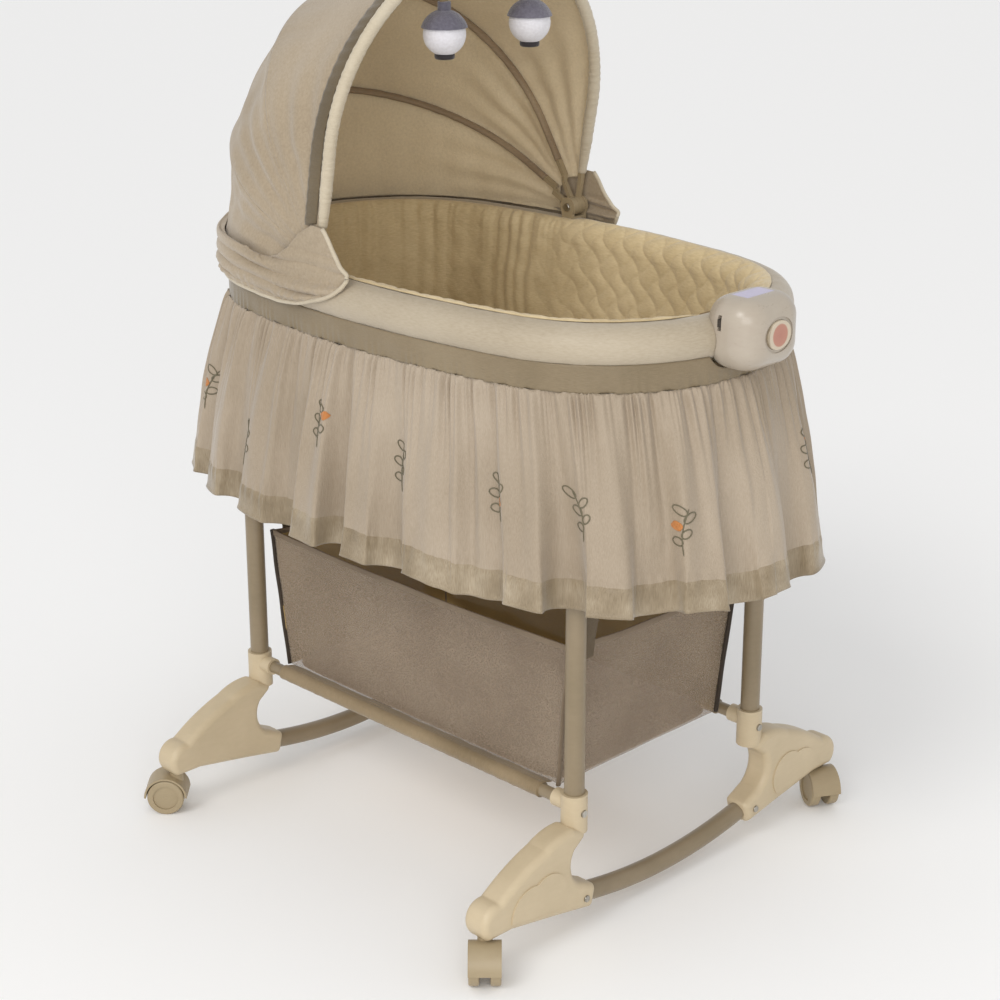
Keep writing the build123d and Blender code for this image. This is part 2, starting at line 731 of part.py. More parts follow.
# Skirt: a ribbon band under the pad and a gathered cloth that flares out to its hem
band_outer = pad_radius - band_inset
band_inner = band_outer - band_thickness
band_top = rim_height - sqrt((pad_radius + gap) ** 2 - band_inner**2)
band_base = band_top - band_height
with BuildPart() as skirt_band:
    with BuildSketch(Plane.XY.offset(band_base)):
        with BuildLine():
            draw_oval(rim_oval(band_outer))
        make_face()
        with BuildLine():
            draw_oval(rim_oval(band_inner))
        make_face(mode=Mode.SUBTRACT)
    extrude(amount=band_height)
    with BuildSketch(Plane.XY.offset(unit_centre_height - unit_height / 2 - gap)):
        with Locations((unit_centre_x, 0)):
            Rectangle(unit_depth, unit_width + 2 * gap)
    extrude(amount=band_height, mode=Mode.SUBTRACT)
finish(skirt_band, "skirt_band")

hem_line = oval(
    hem_half_length - skirt_fold_depth - skirt_thickness / 2,
    hem_half_width - skirt_fold_depth - skirt_thickness / 2,
    hem_side_radius,
    hem_corner_radius,
    hem_end_radius,
)
gather_line = rim_oval(band_outer)
with BuildPart() as skirt:
    for mode, outwards in ((Mode.ADD, skirt_thickness / 2), (Mode.SUBTRACT, -skirt_thickness / 2)):
        with BuildSketch(Plane.XY.offset(hem_height)):
            with BuildLine():
                draw_waves(hem_line, skirt_fold_depth, outwards)
            make_face()
        with BuildSketch(Plane.XY.offset(band_base - gap)):
            with BuildLine():
                draw_waves(gather_line, skirt_gather_depth, outwards)
            make_face()
        loft(ruled=True, mode=mode)
finish(skirt, "skirt")


# Hood bows: three arches that turn on one pin at each side
def bow_plane(angle):
    """The plane of a bow that stands at an angle above the head end, seen from the foot end."""
    return Plane(
        origin=(hood_pivot_x, 0, hood_pivot_height),
        x_dir=(0, 1, 0),
        z_dir=(sin(radians(angle)), 0, cos(radians(angle))),
    )


def draw_arch(arch_height, start, grow=0):
    """Draw a bow's centre line, grown outwards, from start beside one pivot to the other."""
    width = bow_half_width + grow
    Line((-width, start), (-width, arch_height))
    CenterArc((0, arch_height), width, 180, -180)
    Line((width, arch_height), (width, start))


def draw_cloth_section(arch_height, start, inner, outer):
    """Draw a closed strip of cloth round a bow."""
    draw_arch(arch_height, start, inner)
    draw_arch(arch_height, start, outer)
    for side_sign in sides.values():
        Line(
            (side_sign * (bow_half_width + inner), start),
            (side_sign * (bow_half_width + outer), start),
        )


for index, (bow_name, bow_angle) in enumerate(bow_angles.items()):
    hub_y = first_hub_y + index * hub_pitch
    hub_mid = hub_y + hub_thickness / 2
    with BuildPart() as hood_bow:
        with BuildLine(bow_plane(bow_angle)) as arch:
            draw_arch(arch_heights[bow_name], bow_arm_straight + bow_arm_width)
        with BuildSketch(Plane(origin=arch.line @ 0, z_dir=arch.line % 0)):
            Circle(bow_radius)
        sweep()
        for side_sign in sides.values():
            with BuildSketch(Plane.XZ.offset(-side_sign * hub_mid)):
                with Locations((hood_pivot_x, hood_pivot_height)):
                    Circle(hub_radius)
            extrude(amount=hub_thickness / 2, both=True)
            arm_inner = side_sign * (hub_mid - bow_arm_thickness / 2)
            arm_outer = side_sign * (hub_mid + bow_arm_thickness / 2)
            tip_inner = side_sign * (bow_half_width - bow_arm_width / 2)
            tip_outer = side_sign * (bow_half_width + bow_radius)
            shift_end = bow_arm_straight + bow_arm_width
            with BuildSketch(bow_plane(bow_angle)):
                with BuildLine():
                    Polyline(
                        (arm_inner, 0),
                        (arm_inner, bow_arm_straight),
                        (tip_inner, shift_end),
                        (tip_inner, bow_arm_length),
                        (tip_outer, bow_arm_length),
                        (tip_outer, shift_end),
                        (arm_outer, bow_arm_straight),
                        (arm_outer, 0),
                        close=True,
                    )
                make_face()
            extrude(amount=bow_arm_thickness / 2, both=True)
            with BuildSketch(Plane.XZ.offset(-side_sign * hub_mid)):
                with Locations((hood_pivot_x, hood_pivot_height)):
                    Circle(pin_diameter / 2 + running)
            extrude(amount=hub_thickness, both=True, mode=Mode.SUBTRACT)
    finish(hood_bow, f"hood_bow_{bow_name}")

# Hood cloth stretched between the bows, lying just outside them
cloth_inner = bow_radius + gap
cloth_outer = cloth_inner + fabric
for lower, upper in (("rear", "middle"), ("middle", "front")):
    with BuildPart() as hood_panel:
        for bow_name, plane_angle in (
            (lower, bow_angles[lower] + seam_angle),
            (upper, bow_angles[upper] - seam_angle),
        ):
            with BuildSketch(bow_plane(plane_angle)):
                with BuildLine():
                    draw_cloth_section(arch_heights[bow_name], hood_hem_radius, cloth_inner, cloth_outer)
                make_face()
        loft(ruled=True)
        if upper == "front":
            split(bisect_by=bow_plane(bow_angles[upper]).offset(-binding_radius - gap), keep=Keep.BOTTOM)
    finish(hood_panel, f"hood_panel_{upper}")

with BuildPart() as hood_edge_binding:
    with BuildLine(bow_plane(bow_angles["front"])) as edge_line:
        draw_arch(arch_heights["front"], binding_start)
    with BuildSketch(Plane(origin=edge_line.line @ 0, z_dir=edge_line.line % 0)):
        Circle(binding_radius)
        Circle(bow_radius + gap, mode=Mode.SUBTRACT)
    sweep()
finish(hood_edge_binding, "hood_edge_binding")


def draw_rear_foot(offset):
    """Draw the rim's line round the head end, from one side to the other."""
    arcs = rim_oval(offset)
    centre_x, centre_y, radius, start, size = arcs[2]
    angle = degrees(atan2(sqrt(radius**2 - rear_panel_front_x**2), rear_panel_front_x))
    CenterArc((centre_x, centre_y), radius, angle, start + size - angle)
    for arc_x, arc_y, arc_radius, arc_start, arc_size in arcs[3:6]:
        CenterArc((arc_x, arc_y), arc_radius, arc_start, arc_size)
    far_x, far_y, far_radius, far_start, _ = arcs[6]
    CenterArc((far_x, far_y), far_radius, far_start, start + size - angle)
    return (centre_x + radius * cos(radians(angle)), centre_y + radius * sin(radians(angle)))


def draw_split_arch(start, grow):
    """Draw the rear bow's line in five parts, to match the parts of the rim's line below it."""
    width = bow_half_width + grow
    arch_height = arch_heights["rear"]
    Line((width, start), (width, arch_height))
    right_side = CenterArc((0, arch_height), width, 0, rear_split_angle)
    left_side = CenterArc((0, arch_height), width, 180 - rear_split_angle, rear_split_angle)
    ThreePointArc(right_side @ 1, (0, arch_height + width + gap), left_side @ 0)
    Line((-width, arch_height), (-width, start))


with BuildPart() as hood_panel_rear:
    with BuildSketch(bow_plane(bow_angles["rear"] - seam_angle)):
        with BuildLine():
            draw_split_arch(hood_hem_radius, cloth_inner)
            draw_split_arch(hood_hem_radius, cloth_outer)
            for side_sign in sides.values():
                Line(
                    (side_sign * (bow_half_width + cloth_inner), hood_hem_radius),
                    (side_sign * (bow_half_width + cloth_outer), hood_hem_radius),
                )
        make_face()
    with BuildSketch(Plane.XY.offset(rim_height + rear_panel_lift)):
        with BuildLine():
            inner_x, inner_y = draw_rear_foot(rear_panel_offset)
            outer_x, outer_y = draw_rear_foot(rear_panel_offset + fabric)
            for side_sign in sides.values():
                Line((inner_x, side_sign * inner_y), (outer_x, side_sign * outer_y))
        make_face()
    loft(ruled=True)
finish(hood_panel_rear, "hood_panel_rear")

# Elastic cover of the hood over the head end of the pad
cover_inner_radius = pad_radius + gap
cover_outer_radius = cover_inner_radius + cover_wall
with BuildPart() as hood_rim_cover:
    with BuildLine(Plane.XY.offset(rim_height)) as cover_line:
        draw_oval(rim_oval())
    start_tangent = cover_line.line % 0
    with BuildSketch(
        Plane(
            origin=cover_line.line @ 0,
            x_dir=(start_tangent.Y, -start_tangent.X, 0),
            z_dir=-start_tangent,
        )
    ):
        with BuildLine():
            outer_side = CenterArc((0, 0), cover_outer_radius, 0, cover_top_angle)
            inner_side = CenterArc((0, 0), cover_inner_radius, 0, cover_top_angle)
            Line(outer_side @ 1, inner_side @ 1)
            Polyline(
                (cover_inner_radius, 0),
                (cover_inner_radius, -cover_drop),
                (cover_outer_radius, -cover_drop),
                (cover_outer_radius, 0),
            )
        make_face()
    sweep()
    split(bisect_by=Plane.YZ.offset(cover_front_x), keep=Keep.BOTTOM)
    with BuildSketch(Plane.XY.offset(rim_height + rim_tube_radius)):
        for side_sign in sides.values():
            with Locations((hood_pivot_x, side_sign * (pocket_near + pocket_far) / 2)):
                Rectangle(rim_pad_diameter, pocket_far - pocket_near)
    extrude(amount=rim_pad_diameter, mode=Mode.SUBTRACT)
finish(hood_rim_cover, "hood_rim_cover")

# Cloth flaps of the hood outside its pivots
with BuildPart() as hood_side_flaps:
    with BuildSketch(Plane.XZ.offset(-flap_inner_y)):
        with BuildLine():
            flap_corner_height = hood_pivot_height + hood_hem_radius * sin(radians(bow_angles["rear"]))
            flap_back = (rear_panel_front_x + gap, flap_base)
            flap_corner = (rear_panel_front_x + gap, flap_corner_height)
            flap_crest = (flap_crest_x, flap_crest_height)
            flap_tip = (flap_front_x, flap_base)
            Polyline(flap_crest, flap_tip, flap_back, flap_corner)
            ThreePointArc(
                flap_corner,
                (hood_pivot_x, flap_crest_height + fabric),
                flap_crest,
            )
        make_face()
    extrude(amount=-flap_wall)
    mirror(about=Plane.XZ)
finish(hood_side_flaps, "hood_side_flaps")

# Toys that hang from the front bow
bead_radius = toy_bead_diameter / 2
bead_line_radius = bow_half_width - binding_radius - toy_bead_gap - bead_radius
toy_arch = sqrt(bead_line_radius**2 - toy_y**2)
toy_reach = arch_heights["front"] + toy_arch
front_angle = radians(bow_angles["front"])
toy_x = hood_pivot_x - toy_reach * cos(front_angle)
strap_top = hood_pivot_height + toy_reach * sin(front_angle)
toy_slope = toy_y / toy_arch * sin(front_angle)
ball_radius = toy_ball_diameter / 2
cap_inner = ball_radius + gap
cap_outer = cap_inner + toy_cap_wall
knob_top = toy_ball_height + cap_outer + toy_knob_height
strap_bottom = knob_top - toy_strap_seat
half_strap = toy_strap_width / 2
for side, side_sign in sides.items():
    ball_y = side_sign * toy_y
    with BuildPart() as toy_ball:
        with Locations((toy_x, ball_y, toy_ball_height)):
            Sphere(ball_radius)
        with BuildSketch(Plane.XY.offset(toy_ball_height - ball_radius - toy_base_height / 2)):
            with Locations((toy_x, ball_y)):
                Circle(toy_base_diameter / 2)
        extrude(amount=toy_base_height)
    finish(toy_ball, f"toy_ball_{side}")

    with BuildPart() as toy_cap:
        with Locations((toy_x, ball_y, toy_ball_height)):
            Sphere(cap_outer)
        with BuildSketch(Plane.XY.offset(toy_ball_height)):
            with Locations((toy_x, ball_y)):
                Circle(toy_knob_diameter / 2)
        extrude(amount=knob_top - toy_ball_height)
        with Locations((toy_x, ball_y, toy_ball_height)):
            Sphere(cap_inner, mode=Mode.SUBTRACT)
        split(bisect_by=Plane.XY.offset(toy_ball_height + toy_cap_edge), keep=Keep.TOP)
        with BuildSketch(Plane.XY.offset(knob_top)):
            with Locations((toy_x, ball_y)):
                Rectangle(toy_strap_thickness + gap, toy_strap_width + gap)
        extrude(amount=-toy_strap_seat, mode=Mode.SUBTRACT)
    finish(toy_cap, f"toy_cap_{side}")

    with BuildPart() as toy_strap:
        with BuildSketch(Plane.YZ.offset(toy_x)):
            with BuildLine():
                Polyline(
                    (ball_y - half_strap, strap_bottom),
                    (ball_y + half_strap, strap_bottom),
                    (ball_y + half_strap, strap_top - side_sign * toy_slope * half_strap),
                    (ball_y - half_strap, strap_top + side_sign * toy_slope * half_strap),
                    close=True,
                )
            make_face()
        extrude(amount=toy_strap_thickness / 2, both=True)
        bead_tangent = (
            side_sign * toy_y * cos(front_angle),
            toy_arch,
            -side_sign * toy_y * sin(front_angle),
        )
        with BuildSketch(Plane(origin=(toy_x, ball_y, strap_top), z_dir=bead_tangent)):
            Circle(bead_radius)
        extrude(amount=half_strap, both=True)
    finish(toy_strap, f"toy_strap_{side}")

# Sound unit: two shells that close round the pad at the foot end
unit_base = unit_centre_height - unit_height / 2
unit_top = unit_base + unit_height
unit_face_x = unit_centre_x + unit_depth / 2
with BuildPart() as unit_blank:
    with BuildSketch(Plane.XY.offset(unit_base)):
        with Locations((unit_centre_x, 0)):
            RectangleRounded(unit_depth, unit_width, unit_plan_radius)
    extrude(amount=unit_height)
    fillet(unit_blank.faces().filter_by(Axis.Z).edges(), unit_edge_radius)

slot_x = unit_split_x + slot_from_split
slot_centre_height = unit_centre_height + slot_lift
slot_floor_y = -unit_width / 2 + slot_depth
with BuildPart() as unit_back_shell:
    add(unit_blank.part)
    add(pad_hollow, mode=Mode.SUBTRACT)
    split(bisect_by=Plane.YZ.offset(unit_split_x - unit_seam / 2), keep=Keep.BOTTOM)
finish(unit_back_shell, "unit_back_shell")

with BuildPart() as unit_switch:
    with BuildSketch(Plane.XZ.offset(-slot_floor_y + gap)):
        with Locations((slot_x, slot_centre_height)):
            Rectangle(slot_width - 2 * gap, slider_height)
    extrude(amount=slot_depth - gap + slider_stand)
finish(unit_switch, "unit_switch")

button_back_x = unit_face_x + button_stand - button_thickness
pocket_x = button_back_x - button_travel - button_well
lens_x = unit_split_x + lens_from_split + lens_length / 2
door_x = unit_split_x + door_from_split + door_length / 2
with BuildPart() as unit_front_shell:
    add(unit_blank.part)
    add(pad_hollow, mode=Mode.SUBTRACT)
    split(bisect_by=Plane.YZ.offset(unit_split_x + unit_seam / 2), keep=Keep.TOP)
    with BuildSketch(Plane.XZ.offset(-slot_floor_y)):
        with Locations((slot_x, slot_centre_height)):
            Rectangle(slot_width, slot_height)
    extrude(amount=slot_depth + overrun, mode=Mode.SUBTRACT)
    with BuildSketch(Plane.YZ.offset(unit_face_x)):
        with Locations((0, unit_centre_height)):
            Ellipse(unit_ring_width / 2, unit_ring_height / 2)
    extrude(amount=-unit_ring_depth, mode=Mode.SUBTRACT)
    with BuildSketch(Plane.YZ.offset(unit_face_x)):
        with Locations((0, unit_centre_height)):
            Ellipse(button_width / 2 + gap, button_height / 2 + gap)
    extrude(amount=pocket_x - unit_face_x, mode=Mode.SUBTRACT)
    with BuildSketch(Plane.XY.offset(unit_top - lens_depth)):
        with Locations((lens_x, 0)):
            Rectangle(lens_length, lens_width)
    extrude(amount=lens_depth, mode=Mode.SUBTRACT)
    with BuildSketch(Plane.XY.offset(unit_base)):
        with Locations((door_x, 0)):
            Rectangle(door_length, door_width)
    extrude(amount=door_thickness, mode=Mode.SUBTRACT)
finish(unit_front_shell, "unit_front_shell")

with BuildPart() as unit_button:
    with BuildSketch(Plane.YZ.offset(button_back_x)):
        with Locations((0, unit_centre_height)):
            Ellipse(button_width / 2, button_height / 2)
    extrude(amount=button_thickness)
    fillet(unit_button.faces().sort_by(Axis.X)[-1].edges(), button_stand)
finish(unit_button, "unit_button")

with BuildPart() as unit_lens:
    add(unit_blank.part)
    with BuildSketch(Plane.XY.offset(unit_top - lens_depth + unit_seam / 2)):
        with Locations((lens_x, 0)):
            Rectangle(lens_length - unit_seam, lens_width - unit_seam)
    extrude(amount=lens_depth, mode=Mode.INTERSECT)
finish(unit_lens, "unit_lens")

with BuildPart() as unit_battery_door:
    with BuildSketch(Plane.XY.offset(unit_base)):
        with Locations((door_x, 0)):
            Rectangle(door_length - unit_seam, door_width - unit_seam)
    extrude(amount=door_thickness - unit_seam / 2)
finish(unit_battery_door, "unit_battery_door")

with BuildPart() as unit_strap:
    end_centre_x = rim_half_length - rim_end_radius
    strap_start = asin((unit_strap_offset - unit_strap_width / 2) / rim_end_radius)
    strap_size = degrees(asin((unit_strap_offset + unit_strap_width / 2) / rim_end_radius) - strap_start)
    with BuildSketch(
        Plane(
            origin=(end_centre_x, 0, rim_height),
            x_dir=(cos(strap_start), sin(strap_start), 0),
            z_dir=(sin(strap_start), -cos(strap_start), 0),
        )
    ):
        with BuildLine():
            strap_inner = CenterArc(
                (rim_end_radius, 0),
                pad_radius + gap,
                180 - unit_strap_sweep / 2,
                unit_strap_sweep,
            )
            strap_outer = CenterArc(
                (rim_end_radius, 0),
                pad_radius + gap + unit_strap_thickness,
                180 - unit_strap_sweep / 2,
                unit_strap_sweep,
            )
            Line(strap_inner @ 0, strap_outer @ 0)
            Line(strap_inner @ 1, strap_outer @ 1)
        make_face()
    revolve(axis=Axis((end_centre_x, 0, rim_height), (0, 0, 1)), revolution_arc=strap_size)
    mirror(about=Plane.XZ)
finish(unit_strap, "unit_strap")

# Storage basket: net walls that hang from the deck tubes and slide on the rails
basket_height = basket_top_height - basket_floor_height
sleeve_bore = rail_radius + gap
sleeve_radius = sleeve_bore + basket_wall
with BuildPart() as basket_mesh:
    for mode, inset, lift in ((Mode.ADD, 0, 0), (Mode.SUBTRACT, basket_wall, basket_wall)):
        with BuildSketch(Plane.XY.offset(basket_floor_height + lift)):
            RectangleRounded(
                2 * (basket_half_length - inset),
                2 * (basket_half_width - inset),
                basket_corner_radius,
            )
        with BuildSketch(Plane.XY.offset(basket_top_height)):
            RectangleRounded(
                2 * (basket_half_length + basket_flare_length - inset),
                2 * (basket_half_width + basket_flare_width - inset),
                basket_corner_radius,
            )
        loft(ruled=True, mode=mode)
    sleeve_end = basket_half_length - basket_sleeve_end
    for side_sign in sides.values():
        with BuildSketch(Plane.YZ.offset(-sleeve_end)):
            with Locations((side_sign * leg_y, rail_height)):
                Circle(sleeve_radius)
        extrude(amount=2 * sleeve_end)
        with BuildSketch(Plane.XY.offset(basket_floor_height)):
            with Locations((0, side_sign * (basket_half_width + leg_y) / 2)):
                Rectangle(2 * sleeve_end, leg_y - basket_half_width + basket_wall)
        extrude(amount=basket_wall)
        with BuildSketch(Plane.YZ.offset(-sleeve_end)):
            with Locations((side_sign * leg_y, rail_height)):
                Circle(sleeve_bore)
        extrude(amount=2 * sleeve_end, mode=Mode.SUBTRACT)
finish(basket_mesh, "basket_mesh")

with BuildPart() as basket_floor:
    with BuildSketch(Plane.XY.offset(basket_floor_height + basket_wall + gap)):
        RectangleRounded(
            2 * (basket_half_length - basket_wall - gap),
            2 * (basket_half_width - basket_wall - gap),
            basket_corner_radius,
        )
    extrude(amount=basket_board_thickness)
finish(basket_floor, "basket_floor")

with BuildPart() as basket_straps:
    with BuildSketch(Plane.XZ.offset(-basket_strap_y + basket_strap_width / 2)):
        with BuildLine():
            top_x = basket_half_length + basket_flare_length + gap
            lap_x = top_x - basket_flare_length * basket_strap_lap / basket_height
            hang_height = deck_height - deck_tube_radius - gap
            Polyline(
                (lap_x, basket_top_height - basket_strap_lap),
                (top_x, basket_top_height),
                (leg_spread_x, hang_height),
                (leg_spread_x + basket_strap_thickness, hang_height),
                (top_x + basket_strap_thickness, basket_top_height),
                (lap_x + basket_strap_thickness, basket_top_height - basket_strap_lap),
                close=True,
            )
        make_face()
    extrude(amount=-basket_strap_width)
    mirror(about=Plane.YZ)
    mirror(about=Plane.XZ)
finish(basket_straps, "basket_straps")
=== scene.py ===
"""Looks of the rocking bassinet: cloth, foam, net and moulded plastic round the CAD frame.

Metres, in the CAD's frame: +Z up, +X the foot end, -Y the long side that is seen first.
"""

import math

import bmesh
import bpy
import numpy as np
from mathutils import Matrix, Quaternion, Vector


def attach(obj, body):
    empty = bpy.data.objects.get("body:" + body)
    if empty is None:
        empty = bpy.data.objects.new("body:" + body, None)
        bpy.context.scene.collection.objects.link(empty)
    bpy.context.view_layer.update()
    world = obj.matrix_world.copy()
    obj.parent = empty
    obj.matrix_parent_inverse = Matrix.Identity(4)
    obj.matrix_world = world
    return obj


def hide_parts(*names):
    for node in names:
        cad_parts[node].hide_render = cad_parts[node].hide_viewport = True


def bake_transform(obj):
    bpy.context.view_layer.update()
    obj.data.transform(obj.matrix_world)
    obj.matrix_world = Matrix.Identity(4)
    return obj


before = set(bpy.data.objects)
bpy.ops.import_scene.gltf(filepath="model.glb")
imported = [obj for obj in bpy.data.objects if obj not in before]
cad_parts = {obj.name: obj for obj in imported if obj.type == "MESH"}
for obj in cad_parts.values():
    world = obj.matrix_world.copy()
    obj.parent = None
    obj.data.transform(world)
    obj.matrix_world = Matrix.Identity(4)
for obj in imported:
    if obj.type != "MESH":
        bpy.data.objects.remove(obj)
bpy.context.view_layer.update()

# The CAD's main sizes; the hem's are the photograph's, a little lower and further in. An oval is its half
# length, half width, and side, corner and end radius.
RIM_HEIGHT = 0.750
RIM_OVAL = (0.380, 0.221, 1.200, 0.190, 0.420)
RAIL_Y = 0.16769
MATTRESS_BASE, MATTRESS_TOP = 0.5008, 0.5383
BAND_TOP, BAND_BASE, BAND_OFFSET = 0.7312, 0.6990, 0.019
HEM_HEIGHT = 0.443
HEM_OVAL = (0.4640, 0.2665, 1.250, 0.250, 0.380)
HEM_SHIFT = (-0.006, -0.003)
HEM_RIBBON = 0.034
PIVOT = np.array((-0.075, 0.0, 0.790))
BOW_HALF_WIDTH = 0.2279
BOW_ANGLES = {"rear": 26.0, "middle": 58.5, "front": 100.0}
BOW_REACHES = {"rear": 0.332, "middle": 0.346, "front": 0.370}
UNIT_HALF_WIDTH, UNIT_BASE, UNIT_ROUNDING = 0.052, 0.716, 0.027
TOY_X, TOY_Y, TOY_BASE = -0.014673, 0.073, 1.0308

TAU = 2 * math.pi


# ---- numbers
def shares(count, closed=False):
    """Even steps from 0 to 1; a closed round leaves out the last one."""
    return np.linspace(0, 1, count, endpoint=not closed)


def angles_round(count):
    """Even angles once round."""
    return np.linspace(0, TAU, count, endpoint=False)


def unit(value):
    """A value held between 0 and 1."""
    return np.clip(value, 0, 1)


def ripple(turns, bend=0.0):
    """A sine along a number of turns."""
    return np.sin(TAU * turns + bend)


def arch(value):
    """Half a wave, from 0 to 1 and back over 0..1."""
    return np.sin(math.pi * value)


def hill(value, middle, width):
    """A smooth hill of height 1."""
    return np.exp(-(((value - middle) / width) ** 2))


def squared(wave, power):
    """A sine or cosine that a power under 1 brings closer to a square wave."""
    return np.sign(wave) * np.abs(wave) ** power


def wave_noise(u, low, high, seed, count=7):
    """Smooth noise from -1 to 1 that closes over u = 0..1."""
    dice = np.random.default_rng(seed)
    total = 0.0
    for _ in range(count):
        total = total + np.sin(TAU * (dice.integers(low, high + 1) * u + dice.random()))
    return total / math.sqrt(count) / 1.6


def field_noise(a, b, scale_a, scale_b, seed, count=9):
    """Smooth noise over two coordinates, about -1 to 1."""
    dice = np.random.default_rng(seed)
    total = 0.0
    for _ in range(count):
        turn = dice.random() * TAU
        way = a / scale_a * math.cos(turn) + b / scale_b * math.sin(turn)
        total = total + ripple(way, dice.random() * 7)
    return total / math.sqrt(count) / 1.4


# ---- ovals
def oval_arcs(half_length, half_width, side_radius, corner_radius, end_radius):
    """Eight tangent arcs: centre x, centre y, radius, start and size in radians."""
    side_y = half_width - side_radius
    end_x = half_length - end_radius
    from_side = side_radius - corner_radius
    from_end = end_radius - corner_radius
    span = math.hypot(end_x, side_y)
    along = (from_side**2 - from_end**2 + span**2) / (2 * span)
    across = math.sqrt(from_side**2 - along**2)
    x = (along * end_x - across * side_y) / span
    y = side_y - (along * side_y + across * end_x) / span
    at_end = math.atan2(y, x - end_x)
    at_side = math.atan2(y - side_y, x)
    half = (
        (end_x, 0, end_radius, -at_end, 2 * at_end),
        (x, y, corner_radius, at_end, at_side - at_end),
        (0, side_y, side_radius, at_side, math.pi - 2 * at_side),
        (-x, y, corner_radius, math.pi - at_side, at_side - at_end),
    )
    return np.array([*half, *((-x, -y, radius, start + math.pi, size) for x, y, radius, start, size in half)])


def along_oval(arcs, share):
    """Points and outward normals at shares of the way round, from the middle of the foot end."""
    lengths = arcs[:, 2] * arcs[:, 4]
    ends = np.cumsum(lengths)
    way = (share * ends[-1] + lengths[0] / 2) % ends[-1]
    index = np.minimum(np.searchsorted(ends, way, side="right"), len(arcs) - 1)
    local = way - (ends[index] - lengths[index])
    angle = arcs[index, 3] + local / arcs[index, 2]
    normal = np.stack([np.cos(angle), np.sin(angle)], -1)
    return arcs[index, :2] + arcs[index, 2, None] * normal, normal


def beside(place, offset, height):
    """A grid of points beside an oval's points, from offsets outwards and heights."""
    point, normal = place
    plane = point[:, None] + normal[:, None] * np.asarray(offset)[..., None]
    return np.concatenate([plane, np.broadcast_to(height, plane.shape[:2])[..., None]], -1)


RIM, HEM = oval_arcs(*RIM_OVAL), oval_arcs(*HEM_OVAL)
RIM_LENGTH, HEM_LENGTH = (float((arcs[:, 2] * arcs[:, 4]).sum()) for arcs in (RIM, HEM))


# ---- meshes
look = {}  # each material by its name


def grid_faces(nu, nv, wrap_u=False, wrap_v=False, start=0, flip=False):
    """Quads of a grid whose point (i, j) has number start + i * nv + j."""
    i = np.arange(nu if wrap_u else nu - 1)
    j = np.arange(nv if wrap_v else nv - 1)
    i, j = np.meshgrid(i, j, indexing="ij")
    i2, j2 = (i + 1) % nu, (j + 1) % nv
    quads = np.stack([i * nv + j, i2 * nv + j, i2 * nv + j2, i * nv + j2], -1).reshape(-1, 4) + start
    return quads[:, ::-1] if flip else quads


def unit_vectors(vectors):
    """Vectors at length 1."""
    return vectors / np.maximum(np.linalg.norm(vectors, axis=-1, keepdims=True), 1e-12)


def grid_normals(points, closed=False):
    """Unit normals of a grid of points, along du x dv."""
    along = np.roll(points, -1, 0) - np.roll(points, 1, 0) if closed else np.gradient(points, axis=0)
    return unit_vectors(np.cross(along, np.gradient(points, axis=1)))


def coordinates(mesh):
    """A mesh's points."""
    flat = np.empty(len(mesh.vertices) * 3)
    mesh.vertices.foreach_get("co", flat)
    return flat.reshape(-1, 3)


def add_object(name, data):
    """A new object in the scene."""
    piece = bpy.data.objects.new(name, data)
    bpy.context.scene.collection.objects.link(piece)
    return piece


def make_object(name, points, faces, looks, indices=None):
    """A smooth mesh object from arrays, with its materials named in one string."""
    mesh = bpy.data.meshes.new(name)
    vertices = np.asarray(points, np.float32).reshape(-1, 3)
    count, size = faces.shape
    mesh.vertices.add(len(vertices))
    mesh.vertices.foreach_set("co", vertices.ravel())
    mesh.loops.add(faces.size)
    mesh.loops.foreach_set("vertex_index", faces.astype(np.int32).ravel())
    mesh.polygons.add(count)
    mesh.polygons.foreach_set("loop_start", np.arange(0, faces.size, size, dtype=np.int32))
    mesh.polygons.foreach_set("loop_total", np.full(count, size, np.int32))
    for name_of_look in looks.split():
        mesh.materials.append(look[name_of_look])
    if indices is not None:
        mesh.polygons.foreach_set("material_index", indices.astype(np.int32))
    mesh.polygons.foreach_set("use_smooth", np.ones(count, bool))
    mesh.update(calc_edges=True)
    mesh.validate()
    return add_object(name, mesh)


def close_form(mesh, add_faces):
    """Close an open mesh by a function that adds faces, and turn all faces outwards."""
    form = bmesh.new()
    form.from_mesh(mesh)
    form.verts.ensure_lookup_table()
    add_faces(form)
    bmesh.ops.recalc_face_normals(form, faces=form.faces)
    form.to_mesh(mesh)
    form.free()


def dress(piece, body="stand", stands_for=""):
    """Say which body a piece rides on, and which CAD nodes it stands for."""
    if body:
        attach(piece, body)
    if stands_for:
        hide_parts(*stands_for.split())


def shell(name, points, thickness, looks, closed=False, inner_slot=0, row_slots=None):
    """A closed skin: the grid is its outer face, and thickness goes against the grid's normals."""
    nu, nv = points.shape[:2]
    count = nu * nv
    if row_slots is None:
        row_slots = np.zeros(nv - 1, int)
    start = np.arange(nu if closed else nu - 1) * nv
    after = (start + nv) % count
    steps = len(start)
    faces = [
        grid_faces(nu, nv, closed),
        grid_faces(nu, nv, closed, start=count, flip=True),
        np.stack([after, start, start + count, after + count], -1),
        np.stack([start, after, after + count, start + count], -1) + nv - 1,
    ]
    slots = [
        np.tile(row_slots, steps),
        np.full(steps * (nv - 1), inner_slot),
        np.full(steps, row_slots[0]),
        np.full(steps, row_slots[-1]),
    ]
    if not closed:
        across = np.arange(nv - 1)
        first = np.stack([across, across + 1, across + 1 + count, across + count], -1)
        faces += [first, first[:, [1, 0, 3, 2]] + count - nv]
        slots.append(np.zeros(2 * (nv - 1), int))
    both = np.stack([points, points - grid_normals(points, closed) * thickness])
    return make_object(name, both, np.concatenate(faces), looks, np.concatenate(slots))


